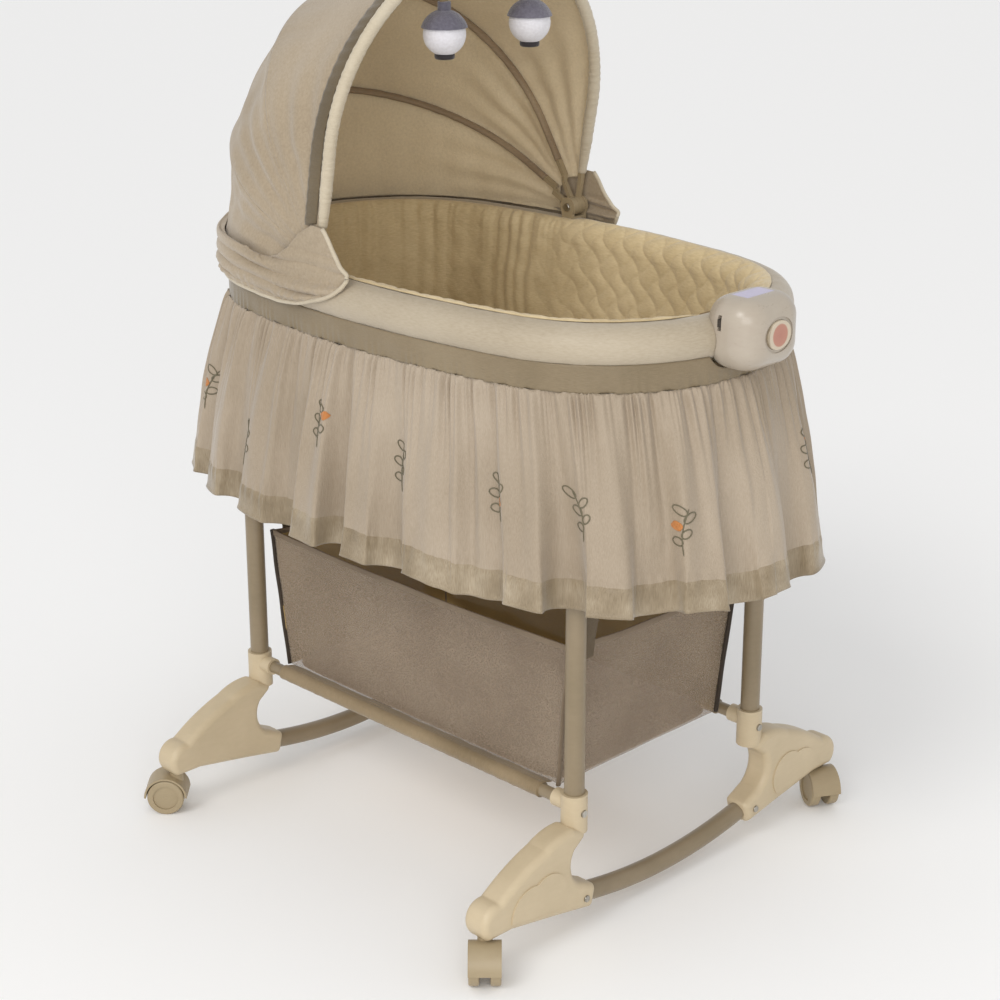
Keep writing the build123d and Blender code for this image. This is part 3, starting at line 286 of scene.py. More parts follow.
def sheet(
    name, points, thickness, looks,
    body="stand", stands_for="", closed=False, inner_slot=0, cut=None,
):
    """A shell that rides on a body and stands for CAD nodes; the cut is not used."""
    piece = shell(name, points, thickness, looks, closed, inner_slot)
    dress(piece, body, stands_for)
    cut = points if cut is None else cut
    return piece


def tube(name, path, width, height, looks, segments, body="stand", up=(0, 0, 1), power=1.0, stands_for=""):
    """A round, oval or flat band along a path; power under 1 squares its section."""
    count = len(path)
    tangent = unit_vectors(np.gradient(path, axis=0))
    side = unit_vectors(np.cross(tangent, np.broadcast_to(up, tangent.shape)))
    top = np.cross(side, tangent)
    angle = angles_round(segments)
    across = np.broadcast_to(width, count)[:, None] * squared(np.cos(angle), power)
    upward = np.broadcast_to(height, count)[:, None] * squared(np.sin(angle), power)
    points = path[:, None] + side[:, None] * across[..., None] + top[:, None] * upward[..., None]
    vertices = np.concatenate([points.reshape(-1, 3), path[[0, -1]]])
    piece = make_object(name, vertices, grid_faces(count, segments, False, True), looks)

    def cap_ends(form):
        for middle, start in ((-2, 0), (-1, (count - 1) * segments)):
            for number in range(segments):
                corners = middle, start + number, start + (number + 1) % segments
                form.faces.new([form.verts[corner] for corner in corners]).smooth = True

    close_form(piece.data, cap_ends)
    dress(piece, body, stands_for)
    return piece


# ---- materials
def tone(code):
    """An sRGB colour in hexadecimal as a linear RGBA."""
    parts = [value / 255 for value in bytes.fromhex(code)]
    return (*(v / 12.92 if v <= 0.04045 else ((v + 0.055) / 1.055) ** 2.4 for v in parts), 1.0)


class Paint:
    """A node material round one Principled shader."""

    def __init__(self, name, roughness, **sockets):
        self.material = look[name] = bpy.data.materials.new(name)
        self.material.use_nodes = True
        tree = self.material.node_tree
        self.nodes, self.links = tree.nodes, tree.links
        self.shader = next(n for n in self.nodes if n.type == "BSDF_PRINCIPLED").inputs
        self.shader["Roughness"].default_value = roughness
        for socket, value in sockets.items():
            self.shader[socket.replace("_", " ")].default_value = value
        self.place = self.nodes.new("ShaderNodeTexCoord").outputs["Object"]
        self.relief = None

    def node(self, kind, output, inputs, **settings):
        """A node's output; its inputs are values or other nodes' outputs."""
        node = self.nodes.new("ShaderNode" + kind)
        for setting, value in settings.items():
            setattr(node, setting, value)
        for socket, value in inputs.items():
            if isinstance(value, bpy.types.NodeSocket):
                self.links.new(value, node.inputs[socket])
            else:
                node.inputs[socket].default_value = value
        return node.outputs[output]

    def noise(self, scale, detail=4.0, stretch=(1, 1, 1), rough=0.5, distortion=0.0):
        """A noise texture's value."""
        place = self.node("Mapping", "Vector", {"Scale": stretch, "Vector": self.place})
        inputs = {"Vector": place, "Scale": scale, "Detail": detail, "Roughness": rough, "Distortion": distortion}
        return self.node("TexNoise", "Fac", inputs)

    def math(self, operation, a, b=0.5, clamp=False):
        """One Math node."""
        return self.node("Math", 0, {0: a, 1: b}, operation=operation, use_clamp=clamp)

    def blend(self, a, b, share):
        """Two values added, the first by a share and the second by the rest."""
        return self.math("ADD", self.math("MULTIPLY", a, share), self.math("MULTIPLY", b, 1 - share))

    def colour(self, value, *stops):
        """Base colours along a value, from stops of a position and a tone."""
        node = self.nodes.new("ShaderNodeValToRGB")
        elements = node.color_ramp.elements
        while len(elements) < len(stops):
            elements.new(0.5)
        for element, (position, code) in zip(elements, stops):
            element.position = position
            element.color = tone(code)
        self.links.new(value, node.inputs["Fac"])
        self.links.new(node.outputs["Color"], self.shader["Base Color"])

    def rough(self, value, low, high):
        """Roughness that follows a value."""
        spread = self.node("MapRange", "Result", {"Value": value, "To Min": low, "To Max": high})
        self.links.new(spread, self.shader["Roughness"])

    def bump(self, value, distance):
        """Add a layer of relief, in metres."""
        inputs = {"Height": value, "Distance": distance, "Strength": 1.0}
        if self.relief is not None:
            inputs["Normal"] = self.relief
        self.relief = self.node("Bump", "Normal", inputs)
        self.links.new(self.relief, self.shader["Normal"])


def cloth_paint(name, dark, middle, light, roughness, sheen, thread, slub, patch=9.0):
    """Woven cloth: threads both ways, slubs, and a slow drift of tone."""
    paint = Paint(name, roughness, Sheen_Weight=sheen, Sheen_Roughness=0.45, Specular_IOR_Level=0.3)
    drift = paint.noise(patch, 3.0)
    slubs = paint.noise(150, 2.0, slub)
    threads = paint.noise(900, 2.0, (1, 1, 0.35))
    cross = paint.noise(900, 2.0, (0.35, 0.35, 1))
    paint.colour(paint.blend(drift, slubs, 0.62), (0.30, dark), (0.50, middle), (0.70, light))
    paint.rough(slubs, roughness - 0.08, roughness + 0.08)
    paint.bump(paint.math("ADD", threads, cross), thread)
    paint.bump(slubs, thread * 0.8)


def plastic_paint(name, dark, light, roughness, coat=0.0):
    """Moulded plastic with a fine spark-eroded grain and a slight drift of tone."""
    paint = Paint(name, roughness, Coat_Weight=coat, Coat_Roughness=0.2, Specular_IOR_Level=0.45)
    scuff = paint.noise(60, 6.0, (1, 1, 3), 0.7)
    paint.colour(paint.blend(paint.noise(14, 3.0), scuff, 0.7), (0.35, dark), (0.65, light))
    paint.rough(scuff, roughness - 0.07, roughness + 0.1)
    paint.bump(paint.noise(1400, 2.0), 0.00006)


def net_paint(name, dark, light, low, high, **sockets):
    """Fine net: part of the light passes between its yarns, which cover a share from low to high."""
    paint = Paint(name, 0.75, **sockets)
    paint.colour(paint.noise(7, 3.0), (0.35, dark), (0.65, light))
    yarn = paint.noise(620, 1.0)
    closed = paint.math("MULTIPLY", paint.math("SUBTRACT", yarn, 0.3), 2.2, clamp=True)
    cover = paint.math("ADD", paint.math("MULTIPLY", closed, high - low), low)
    paint.links.new(cover, paint.shader["Alpha"])
    paint.bump(yarn, 0.0003)


# Name, dark, middle and light tone, roughness, sheen, thread's height, slubs' stretch, scale of the drift
for row in (
    ("skirt_satin", "938470", "a39481", "b0a290", 0.46, 0.25, 0.0003, (9, 9, 0.6), 5.0),
    # The band's ribbon: darker tones than the same ribbon at the hem, painted shade under the pad.
    ("ribbon_satin", "71644c", "807159", "8e7f66", 0.34, 0.2, 0.00022, (1, 1, 14), 7.0),
    # The hem's ribbon: lighter tones than the band's, and light and dark streaks, are painted sheen and fold shade.
    ("hem_ribbon_satin", "7a6b54", "94856e", "b0a28c", 0.3, 0.2, 0.00022, (9, 9, 0.5), 22.0),
    ("hood_ribbon_satin", "544834", "61543e", "6e6049", 0.36, 0.2, 0.00022, (1, 1, 14), 7.0),
    ("pad_satin", "a0927c", "ada08b", "b7ab97", 0.42, 0.25, 0.00025, (1, 1, 5), 6.0),
    ("quilt_cotton", "baa57e", "ccb890", "dac7a1", 0.7, 0.3, 0.0004, (1, 1, 4), 7.0),
    ("hood_cotton", "93836d", "a4947d", "b1a28d", 0.68, 0.3, 0.0004, (2, 2, 2), 5.0),
    ("hood_lining", "ccbb9c", "d9c8a8", "e4d4b6", 0.75, 0.25, 0.0004, (2, 2, 2), 5.0),
    ("cream_binding", "b4a790", "c0b49e", "c8beaa", 0.5, 0.3, 0.0003, (1, 1, 6)),
    ("bow_tape", "7b6951", "8f7b63", "9e8b71", 0.6, 0.2, 0.0003, (1, 1, 6)),
    ("sheet_cotton", "c4b69c", "d0c3aa", "daceb8", 0.75, 0.3, 0.0003, (3, 3, 3)),
    ("webbing", "806d50", "8e7a5b", "9a8666", 0.7, 0.1, 0.0005, (1, 1, 10)),
    ("basket_tape", "2c241c", "3a3026", "483c30", 0.65, 0.1, 0.0004, (1, 1, 8)),
    ("basket_strap", "524533", "60523e", "6e5f4a", 0.7, 0.1, 0.0005, (1, 1, 10)),
    ("basket_net_hem", "70604e", "7e6e5b", "8a7a66", 0.65, 0.1, 0.0004, (1, 1, 8)),
    ("basket_sleeve_cloth", "7a694e", "8a785c", "988568", 0.6, 0.2, 0.0004, (9, 1, 1)),
    ("board_cloth", "b7a186", "c8b296", "d6c0a3", 0.7, 0.2, 0.0004, (1, 1, 1)),
    ("sprig_thread", "58523e", "68614c", "78705a", 0.5, 0.2, 0.0003, (1, 1, 8)),
    ("leaf_thread", "a86834", "ba7840", "ca8a52", 0.45, 0.2, 0.0003, (8, 1, 1)),
    ("toy_plush", "cecbd0", "dad8dd", "e4e3e8", 0.85, 0.5, 0.0006, (2, 2, 2)),
    ("toy_cap_plush", "4a4854", "625f6a", "7a7782", 0.8, 0.4, 0.0006, (2, 2, 2)),
    ("toy_dark_felt", "221e20", "2e2a2c", "3a3638", 0.8, 0.3, 0.0005, (2, 2, 2)),
):
    cloth_paint(*row)

# Name, dark and light tone, roughness, clear coat
for row in (
    ("tube_enamel", "82735a", "8e7e65", 0.36, 0.15),
    ("foot_plastic", "bcab8d", "c7b698", 0.4),
    ("caster_plastic", "9b8a6d", "a59578", 0.4),
    ("unit_plastic", "a99d8e", "b1a798", 0.28, 0.3),
    ("unit_lens_plastic", "b0a8c8", "c0b8d6", 0.15, 0.5),
    ("switch_plastic", "342e28", "423c36", 0.5),
):
    plastic_paint(*row)

net_paint("basket_net", "a2907d", "b19f8b", 0.34, 0.6, Sheen_Weight=0.15)
# The net's inner faces take darker copies of it, which paint in the shade inside the basket. The right and head walls'
# copy, basket_net_shaded, is a nearly opaque brown that stands in for the shade under the skirt.
net_paint("basket_net_inside", "544632", "62543e", 0.35, 0.62, Sheen_Weight=0.15)
net_paint("basket_net_shaded", "a08656", "b09664", 0.93, 1.0, Specular_IOR_Level=0.15)

# The unit's button: a disc with a pale ring round it, by the distance from its middle
button = coordinates(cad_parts["unit_button"].data)
button_middle, button_size = (button.min(0) + button.max(0)) / 2, np.ptp(button, axis=0)
paint = Paint("unit_button_plastic", 0.3, Coat_Weight=0.3, Coat_Roughness=0.2)
squares = []
for axis in range(3):
    if button_size[axis] > button_size.min():
        place = paint.node("SeparateXYZ", axis, {"Vector": paint.place})
        away = paint.math("SUBTRACT", place, button_middle[axis])
        squares.append(paint.math("MULTIPLY", away, away))
from_middle = paint.math("DIVIDE", paint.math("SQRT", paint.math("ADD", *squares)), button_size.max() / 2)
grain = paint.noise(900, 2.0)
from_middle = paint.math("ADD", from_middle, paint.math("MULTIPLY", paint.math("SUBTRACT", grain, 0.5), 0.05))
disc = (0.0, "ac7462"), (0.60, "b27c68")
pale_ring = (0.66, "c4b6a0"), (0.86, "c6b8a2"), (0.95, "968872")
paint.colour(from_middle, *disc, *pale_ring)
paint.bump(grain, 0.00005)

paint = Paint("bright_steel", 0.3, Metallic=1.0)
brush = paint.noise(240, 3.0, (1, 1, 0.1))
paint.colour(brush, (0.3, "96928a"), (0.7, "c4c0b8"))
paint.rough(brush, 0.22, 0.42)
paint.bump(brush, 0.00005)

paint = Paint("floor_board_wood", 0.6)
grain = paint.noise(22, 6.0, (1, 12, 1), 0.6, 0.4)
paint.colour(grain, (0.3, "806240"), (0.7, "b08e64"))
paint.bump(grain, 0.0002)

# Material and starts of the CAD nodes' names
for name, starts in (
    ("tube_enamel", "leg_ rocker_tube_ basket_rail_ deck_tube_ rim_tube"),
    ("foot_plastic", "stand_foot_ deck_brackets rim_brackets"),
    ("caster_plastic", "caster_body_ caster_wheels_ hood_mounts hood_bow_"),
    ("bright_steel", "foot_screws caster_stems hood_pins"),
    ("floor_board_wood", "floor_board"),
    ("unit_plastic", "unit_back_shell unit_front_shell unit_battery_door"),
    ("unit_button_plastic", "unit_button"),
    ("unit_lens_plastic", "unit_lens"),
    ("switch_plastic", "unit_switch"),
    ("webbing", "unit_strap toy_strap_"),
    ("basket_strap", "basket_straps"),
    ("toy_plush", "toy_ball_"),
    ("toy_cap_plush", "toy_cap_"),
):
    for node_name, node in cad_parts.items():
        if node_name.startswith(tuple(starts.split())):
            node.data.materials.clear()
            node.data.materials.append(look[name])


# ---- rim pad
PAD_STEPS, PAD_SIDES, PAD_RADIUS = 900, 44, 0.0254
PAD_SEAM = math.radians(238)

rim = along_oval(RIM, shares(PAD_STEPS, True))
s, angle = np.meshgrid(shares(PAD_STEPS, True), angles_round(PAD_SIDES), indexing="ij")
metres, around = s * RIM_LENGTH, angle * 0.03
at_ends = unit(1 - np.abs(rim[1][:, 1:]) * 1.05)
pucker = ripple(260 * s, 3 * wave_noise(s, 5, 30, 1)) * unit(-np.cos(angle)) ** 2 * (0.15 + 0.5 * at_ends)
radius = (
    PAD_RADIUS
    + 0.0004 * field_noise(metres, around, 0.11, 0.05, 2)
    + 0.00022 * field_noise(metres, around, 0.028, 0.05, 3)
    + 0.0004 * pucker
    - 0.0009 * hill(angle, PAD_SEAM, 0.09)
)
points = beside(rim, np.cos(angle) * radius, RIM_HEIGHT + np.sin(angle) * radius)
rim_pad = make_object("rim_pad_cloth", points, grid_faces(PAD_STEPS, PAD_SIDES, True, True, flip=True), "pad_satin")
dress(rim_pad, stands_for="rim_pad")

# ---- quilted tub wall
LINER_STEPS, LAP_ROWS, FALL_ROWS = 1300, 45, 105  # the lap's rows wrap the pad, the others hang from it
LAP_RADIUS, LAP_END = 0.0272, 187
LINER_OFFSET = -0.0405
QUILT_LENGTH, QUILT_HEIGHT = RIM_LENGTH / 54, 0.042

share = shares(LINER_STEPS, True)
rim = along_oval(RIM, share)
s, x, y = share[:, None], rim[0][:, :1], rim[0][:, 1:]
near_unit = unit(1.6 - np.abs(y) / 0.054) * (x > 0.3)
near_cover = unit((-0.045 - x) / 0.02)
lap = shares(LAP_ROWS)
lap_start = np.radians(97 + 30 * near_unit + 16 * near_cover)
lap_angle = lap_start + (math.radians(LAP_END) - lap_start) * lap
lap_radius = LAP_RADIUS - 0.0011 * near_unit - 0.0012 * hill(lap, 0, 0.06)
lap_offset, lap_height = np.cos(lap_angle) * lap_radius, RIM_HEIGHT + np.sin(lap_angle) * lap_radius
fall = shares(FALL_ROWS + 1)[1:]
fall_offset = lap_offset[:, -1:] + (LINER_OFFSET - lap_offset[:, -1:]) * fall**0.85
fall_height = lap_height[:, -1:] + (MATTRESS_TOP - 0.012 - lap_height[:, -1:]) * fall
points = beside(rim, np.hstack([lap_offset, fall_offset]), np.hstack([lap_height, fall_height]))
run = np.cumsum(np.linalg.norm(np.diff(points, axis=1, prepend=points[:, :1]), axis=-1), 1)
along = s * RIM_LENGTH

# Quilting at the foot end, gathers at the head end
column, row = along / QUILT_LENGTH, run / QUILT_HEIGHT
wavy = 0.35 * ripple(row)
puff = np.abs(np.sin(math.pi * (column + row) + wavy) * np.sin(math.pi * (column - row) + wavy)) ** 0.55
bent = along + 0.010 * field_noise(along, run, 0.3, 0.12, 9)
gather = ripple(bent / 0.031, 5 * wave_noise(s, 5, 16, 5)) + 0.7 * ripple(bent / 0.067, 4 * wave_noise(s, 3, 9, 6))
gather = gather + 0.35 * ripple(along / 0.013, 5 * wave_noise(s, 6, 25, 7)) * np.exp(-run / 0.05)
gather = gather * (1 - 0.5 * unit((run - 0.03) / 0.15))
crumple = field_noise(along, run, 0.05, 0.04, 8)
at_head = unit((-0.02 - x) / 0.08)
relief = (1 - at_head) * (0.0030 * puff + 0.0006 * crumple)
relief = relief + at_head * (0.0015 * gather + 0.0010 * crumple + 0.0008 * puff)
relief = relief * unit(run / 0.012) * (1 - 0.75 * near_unit * (run < 0.07))
points = points + grid_normals(points, True) * np.maximum(relief, -0.0020)[..., None]
sheet(
    "quilted_liner", points[:, ::-1], 0.0012, "quilt_cotton",
    stands_for="liner", closed=True,
)

# Plain outer cloth of the tub, between the wall and the skirt
TUB_STEPS, TUB_ROWS = 500, 26
TUB_TOP, TUB_DROP = 0.7268, 0.2262
TUB_OFFSET, TUB_DRAW = -0.0172, 0.0140

down = shares(TUB_ROWS)
height = TUB_TOP - TUB_DROP * down
tub = beside(along_oval(RIM, shares(TUB_STEPS, True)), TUB_OFFSET - TUB_DRAW * down, height)
wrinkle = field_noise(shares(TUB_STEPS)[:, None] * RIM_LENGTH, height, 0.08, 0.12, 11)
points = tub - grid_normals(tub, True) * (0.0008 + 0.0008 * wrinkle)[..., None]
sheet(
    "tub_outer_cloth", points[:, ::-1], 0.001, "hood_lining",
    closed=True, cut=tub,
)

# ---- mattress
MATTRESS_STEPS = 260
MATTRESS_PROFILE = (  # offset from the rim, height
    (-0.054, MATTRESS_BASE), (-0.0470, 0.5020), (-0.0436, 0.5075), (-0.0422, 0.514), (-0.0422, 0.519),
    (-0.0432, 0.5215), (-0.0424, 0.5232), (-0.0440, 0.5262), (-0.0480, 0.5302), (-0.0550, 0.5335),
    (-0.066, 0.5357), (-0.084, 0.5372), (-0.105, 0.5378), (-0.135, 0.5381),
)
SEAM_ROWS = 8  # the rows up to the edge's seam stay as they are
CUSHION_VOXEL, CUSHION_PRESSURE, CUSHION_MOST, CUSHION_STEPS = 0.006, 4.0, 0.008, 20


def evaluated_copy(piece):
    """The piece's mesh as its modifiers leave it."""
    bpy.context.view_layer.update()
    return bpy.data.meshes.new_from_object(piece.evaluated_get(bpy.context.evaluated_depsgraph_get()))


def blown_up(piece):
    """Remesh a closed form, fill it like a cushion, limit how far its points go, and smooth it once."""
    remesh = piece.modifiers.new("even", "REMESH")
    remesh.mode = "VOXEL"
    remesh.voxel_size = CUSHION_VOXEL
    even = evaluated_copy(piece)
    bpy.data.objects.remove(piece)
    before = coordinates(even)
    filling = add_object("filling", even)
    cloth = filling.modifiers.new("cloth", "CLOTH")
    cloth.settings.use_pressure = True
    cloth.settings.uniform_pressure_force = CUSHION_PRESSURE
    cloth.settings.quality = 5
    cloth.settings.mass = 0.3
    cloth.settings.effector_weights.gravity = 0
    cloth.collision_settings.use_collision = False
    for step in range(1, CUSHION_STEPS + 1):
        bpy.context.scene.frame_set(step)
    move = coordinates(evaluated_copy(filling)) - before
    length = np.linalg.norm(move, axis=1, keepdims=True)
    move *= np.minimum(1, CUSHION_MOST / np.maximum(length, 1e-9))
    print("cushion moved by", float(length.mean()), float(length.max()))
    bpy.context.scene.frame_set(1)
    filling.modifiers.clear()
    even.vertices.foreach_set("co", (before + move).ravel())
    smooth = filling.modifiers.new("smooth", "SUBSURF")
    smooth.levels = smooth.render_levels = 1
    result = evaluated_copy(filling)
    bpy.data.objects.remove(filling)
    return result


def grid_object(name, rows):
    """The mattress as rows of points from its base to its middle."""
    return make_object(name, rows, grid_faces(MATTRESS_STEPS, rows.shape[1], True), "sheet_cotton")


offset, height = np.array(MATTRESS_PROFILE).T
rows = beside(along_oval(RIM, shares(MATTRESS_STEPS, True)), offset, height)
top = [rows[:, -1:] * (fade, fade, 0) + (0, 0, MATTRESS_TOP) for fade in (0.75, 0.5, 0.25, 0.0)]
rows = np.concatenate([rows, *top], 1)
number = np.arange(rows.shape[1])
lift = field_noise(rows[..., 0], rows[..., 1], 0.16, 0.12, 21) * 0.0012 - 0.0010
rows[..., 2] += lift * ((number > SEAM_ROWS) & (number < number[-1]))
# The start is a little flatter, so that filling it brings it back to its height
small = rows.copy()
small[..., 2] = np.clip(small[..., 2] * 0.90 + 0.5195 * 0.10, 0.5040, 0.5345)
small[..., :2] *= 0.996
under = [small[:, :1] * [fade, fade, 1] for fade in (0.0, 0.3, 0.6, 0.85)]
filled = blown_up(grid_object("mattress_start", np.concatenate([*under, small], 1)))
spots = coordinates(filled)
spots[:, 2] = np.maximum(spots[:, 2], MATTRESS_BASE - 0.0002)
# It stays inside the quilted wall, and creases where it meets it
limit = beside(along_oval(RIM, shares(1440, True)), LINER_OFFSET, 0)[:, 0]
limit_angle = np.arctan2(limit[:, 1], limit[:, 0])
order = np.argsort(limit_angle)
limit_reach = np.hypot(limit[:, 0], limit[:, 1])[order]
allowed = np.interp(np.arctan2(spots[:, 1], spots[:, 0]), limit_angle[order], limit_reach, period=TAU)
reach = np.hypot(spots[:, 0], spots[:, 1])
at_side = unit((reach / allowed - 0.93) / 0.05)
creases = field_noise(spots[:, 0] + spots[:, 1], spots[:, 2] * 2 + reach * 0.2, 0.012, 0.05, 24)
spots[:, 2] += 0.0007 * creases * at_side * (spots[:, 2] > 0.52)
kept = np.minimum(reach + 0.0008 * creases * at_side, allowed)
spots[:, :2] *= (kept / np.maximum(reach, 1e-6))[:, None]
filled.vertices.foreach_set("co", spots.ravel())
filled.polygons.foreach_set("use_smooth", [True] * len(filled.polygons))
mattress = add_object("mattress_cover", filled)
dress(mattress, stands_for="mattress")

# ---- skirt
SKIRT_STEPS, SKIRT_ROWS = 2600, 84
SKIRT_DROP = BAND_BASE - HEM_HEIGHT
FOLDS, SMALL_FOLDS, GATHERS, FINE_GATHERS, RIBBON_PULLS = 22, 57, 150, 310, 240

share = shares(SKIRT_STEPS, True)
s, down = share[:, None], shares(SKIRT_ROWS)
top_point, top_normal = along_oval(RIM, share)
hem_point, hem_normal = along_oval(HEM, share)
flare = (down + 0.66 * down * (1 - down))[:, None]
base = (top_point + top_normal * BAND_OFFSET)[:, None] * (1 - flare) + (hem_point + HEM_SHIFT)[:, None] * flare
out = unit_vectors(top_normal[:, None] * (1 - down)[:, None] + hem_normal[:, None] * down[:, None])

turn = TAU * FOLDS * (s + 0.011 * wave_noise(s, 2, 7, 31)) + 0.5 * wave_noise(s, 3, 11, 38)
size = 1 + 0.55 * wave_noise(s, 3, 14, 32)
grow = 0.08 + 0.92 * down**1.1
broad = np.cos(turn) - 0.24 * np.cos(2 * turn)
small = ripple(SMALL_FOLDS * (s + 0.004 * wave_noise(s, 3, 9, 33))) * (1 + 0.5 * wave_noise(s, 4, 20, 39))
gathers = ripple(GATHERS * s, 5 * wave_noise(s, 8, 40, 34))
fine = ripple(FINE_GATHERS * s, 5 * wave_noise(s, 20, 90, 35))
creases = 0.0013 * field_noise(s * HEM_LENGTH, down * 0.24, 0.045, 0.16, 36)
creases = creases + 0.0004 * field_noise(s * HEM_LENGTH, down * 0.24, 0.018, 0.05, 40)
ribbon_start = 1 - HEM_RIBBON / SKIRT_DROP
pulls = ripple(RIBBON_PULLS * s, 4 * wave_noise(s, 9, 40, 45))
fold = (
    0.0170 * broad * size * grow
    + 0.0036 * small * (0.35 + 0.65 * arch(unit(down * 0.9 + 0.1)))
    + 0.0040 * gathers * np.exp(-4.6 * down) * (1 - np.exp(-down / 0.03))
    + 0.0009 * fine * np.exp(-6.0 * down)
    + creases * unit(down * 3)
    + 0.0009 / (1 + np.exp((ribbon_start - down) * 400))
    + 0.0014 * hill(down, 1, 0.012)
    + 0.0007 * pulls * hill(down, ribbon_start, 0.05)
)
sideways = 0.0086 * np.sin(2 * turn) * size * grow**2
along_hem = np.stack([-out[..., 1], out[..., 0]], -1)
plane = base + out * fold[..., None] + along_hem * sideways[..., None]
skirt_top = BAND_BASE + 0.0008
hem_lift = 0.003 + 0.0050 * wave_noise(s, 4, 20, 37) + 0.0045 * broad
height = skirt_top + (HEM_HEIGHT + hem_lift - skirt_top) * down
skirt_points = np.concatenate([plane, height[..., None]], -1)
skirt_out = -grid_normals(skirt_points, True)
on_ribbon = np.arange(SKIRT_ROWS - 1) / (SKIRT_ROWS - 1) < 1 - ribbon_start
# The ribbon rows at the hem take the ribbon with painted sheen and fold shade.
skirt = shell(
    "skirt_cloth", skirt_points[:, ::-1], 0.0012, "skirt_satin hem_ribbon_satin",
    closed=True, row_slots=on_ribbon.astype(int),
)
dress(skirt, stands_for="skirt")

# Ribbon band that the skirt is gathered on, cut out round the sound unit's rounded underside
BAND_STEPS, BAND_ROWS = 1500, 14

share = shares(BAND_STEPS, True)
rim = along_oval(RIM, share)
s, down = share[:, None], shares(BAND_ROWS)
offset = (
    BAND_OFFSET + 0.0002
    + 0.0005 * ripple(GATHERS * s, 5 * wave_noise(s, 8, 40, 34)) * down**2
    + 0.0004 * field_noise(s * RIM_LENGTH, down * 0.03, 0.05, 0.03, 41)
    + 0.0006 * arch(down)
)
height = BAND_TOP + 0.001 + (BAND_BASE - 0.001 - BAND_TOP) * down
from_edge = np.clip(UNIT_HALF_WIDTH - 0.0010 - np.abs(rim[0][:, 1:]), 0, UNIT_ROUNDING)
underside = UNIT_BASE - 0.001 + UNIT_ROUNDING - np.sqrt(UNIT_ROUNDING**2 - (UNIT_ROUNDING - from_edge) ** 2)
underside = np.where((from_edge > 0) & (rim[0][:, :1] > 0), underside, 1.0)
points = beside(rim, offset, np.minimum(height, underside))
# Its ribbon's darker tones are painted shade under the pad.
sheet(
    "skirt_ribbon", points[:, ::-1], 0.0014, "ribbon_satin",
    stands_for="skirt_band", closed=True,
)

# Stitched sprigs on the skirt: a stem with small leaves, and some leaves filled in orange thread
SPRIGS, LEAVES = 17, 5
LEAF_SWELL = 0.0046


def on_skirt(where, depth, lift):
    """Points over the skirt's face and its normals, at shares of the way round and down."""
    u = (where % 1) * SKIRT_STEPS
    v = unit(depth) * (SKIRT_ROWS - 1)
    i, j = np.floor(u).astype(int), np.minimum(np.floor(v).astype(int), SKIRT_ROWS - 2)
    part_u, part_v = (u - i)[:, None], (v - j)[:, None]
    i, i2 = i % SKIRT_STEPS, (i + 1) % SKIRT_STEPS

    def sample(grid):
        low = grid[i, j] * (1 - part_u) + grid[i2, j] * part_u
        high = grid[i, j + 1] * (1 - part_u) + grid[i2, j + 1] * part_u
        return low * (1 - part_v) + high * part_v

    face = sample(skirt_out)
    return sample(skirt_points) + face * lift, face


def stitches(name, strokes, width, height, looks):
    """Stitches: each stroke is a flat thread along a line on the skirt."""
    vertices, faces, start, sides = [], [], 0, 6
    angle = angles_round(sides)[None, :, None]
    for where, depth in strokes:
        line, face = on_skirt(where, depth, 0.0004)
        side = np.cross(unit_vectors(np.gradient(line, axis=0)), face)
        taper = np.ones((len(line), 1, 1))
        taper[[0, -1]] = 0.25
        across, upward = np.cos(angle) * width * taper, np.sin(angle) * height * taper
        vertices.append((line[:, None] + side[:, None] * across + face[:, None] * upward).reshape(-1, 3))
        faces.append(grid_faces(len(line), sides, False, True, start=start))
        start += len(line) * sides
    dress(make_object(name, np.concatenate(vertices), np.concatenate(faces), looks))


metre_round = 1 / HEM_LENGTH * 1.12
metre_down = 1 / SKIRT_DROP
stems, orange = [], []
dice = np.random.default_rng(17)
for number in range(SPRIGS):
    centre = (number + 0.5 + 0.25 * dice.standard_normal()) / SPRIGS
    top = 0.30 + 0.30 * dice.random()
    lean = dice.choice((-1, 1)) * (0.006 + 0.006 * dice.random())
    tall = 0.050 + 0.012 * dice.random()

    def stroke(a, b):
        """A line on the skirt from metres along and down beside this sprig's top."""
        return centre + a * metre_round, top + b * metre_down

    q = shares(22)
    stem_a = lean * (q - 0.5) + lean * 0.6 * arch(q)
    stem_b = tall * q
    stems.append(stroke(stem_a, stem_b))
    for leaf in range(LEAVES):
        at = 0.12 + 0.16 * leaf
        hand = 1 if leaf % 2 else -1
        start_a, start_b = np.interp(at, q, stem_a), np.interp(at, q, stem_b)
        leaf_length = 0.0165 - 0.0012 * leaf
        if leaf == number % 3 + 1 and number % 2 == 0:
            along = shares(7) * 0.8 + 0.1
            swells = [np.sqrt(unit(1 - (2 * along - 1) ** 2)) * step for step in np.linspace(-1, 1, 17)]
            strokes = orange
        else:
            turn = TAU * shares(18)
            along, swells, strokes = 0.5 * (1 - np.cos(turn)), [np.sin(turn)], stems
        for swell in swells:
            reach, swell = leaf_length * along, LEAF_SWELL * swell
            a = start_a + hand * reach * 0.8 + swell * 0.6
            strokes.append(stroke(a, start_b - reach * 0.6 + swell * 0.8 * hand))
stitches("skirt_sprig_stems", stems, 0.00085, 0.0007, "sprig_thread")
stitches("skirt_sprig_leaves", orange, 0.0006, 0.0007, "leaf_thread")

# ---- hood
CLOTH_GAP = 0.0053  # from a bow's axis to the cloth over it
CLOTH_START = 0.040  # from the pivots to the cloth's ends
PANEL_STEPS, PANEL_ROWS = 420, 60
REAR_SINK = 0.045  # how far the rear cloth sinks in, as a share of its span
REAR_FOOT_X, REAR_FOOT_OFFSET, REAR_FOOT_HEIGHT = -0.111, 0.0235, 0.7735
REAR_FOOT_ANGLE = 4


def ray(angle):
    """The direction from the pivots at an angle in degrees."""
    angle = np.radians(angle)
    return np.array((-np.cos(angle), 0.0, np.sin(angle)))


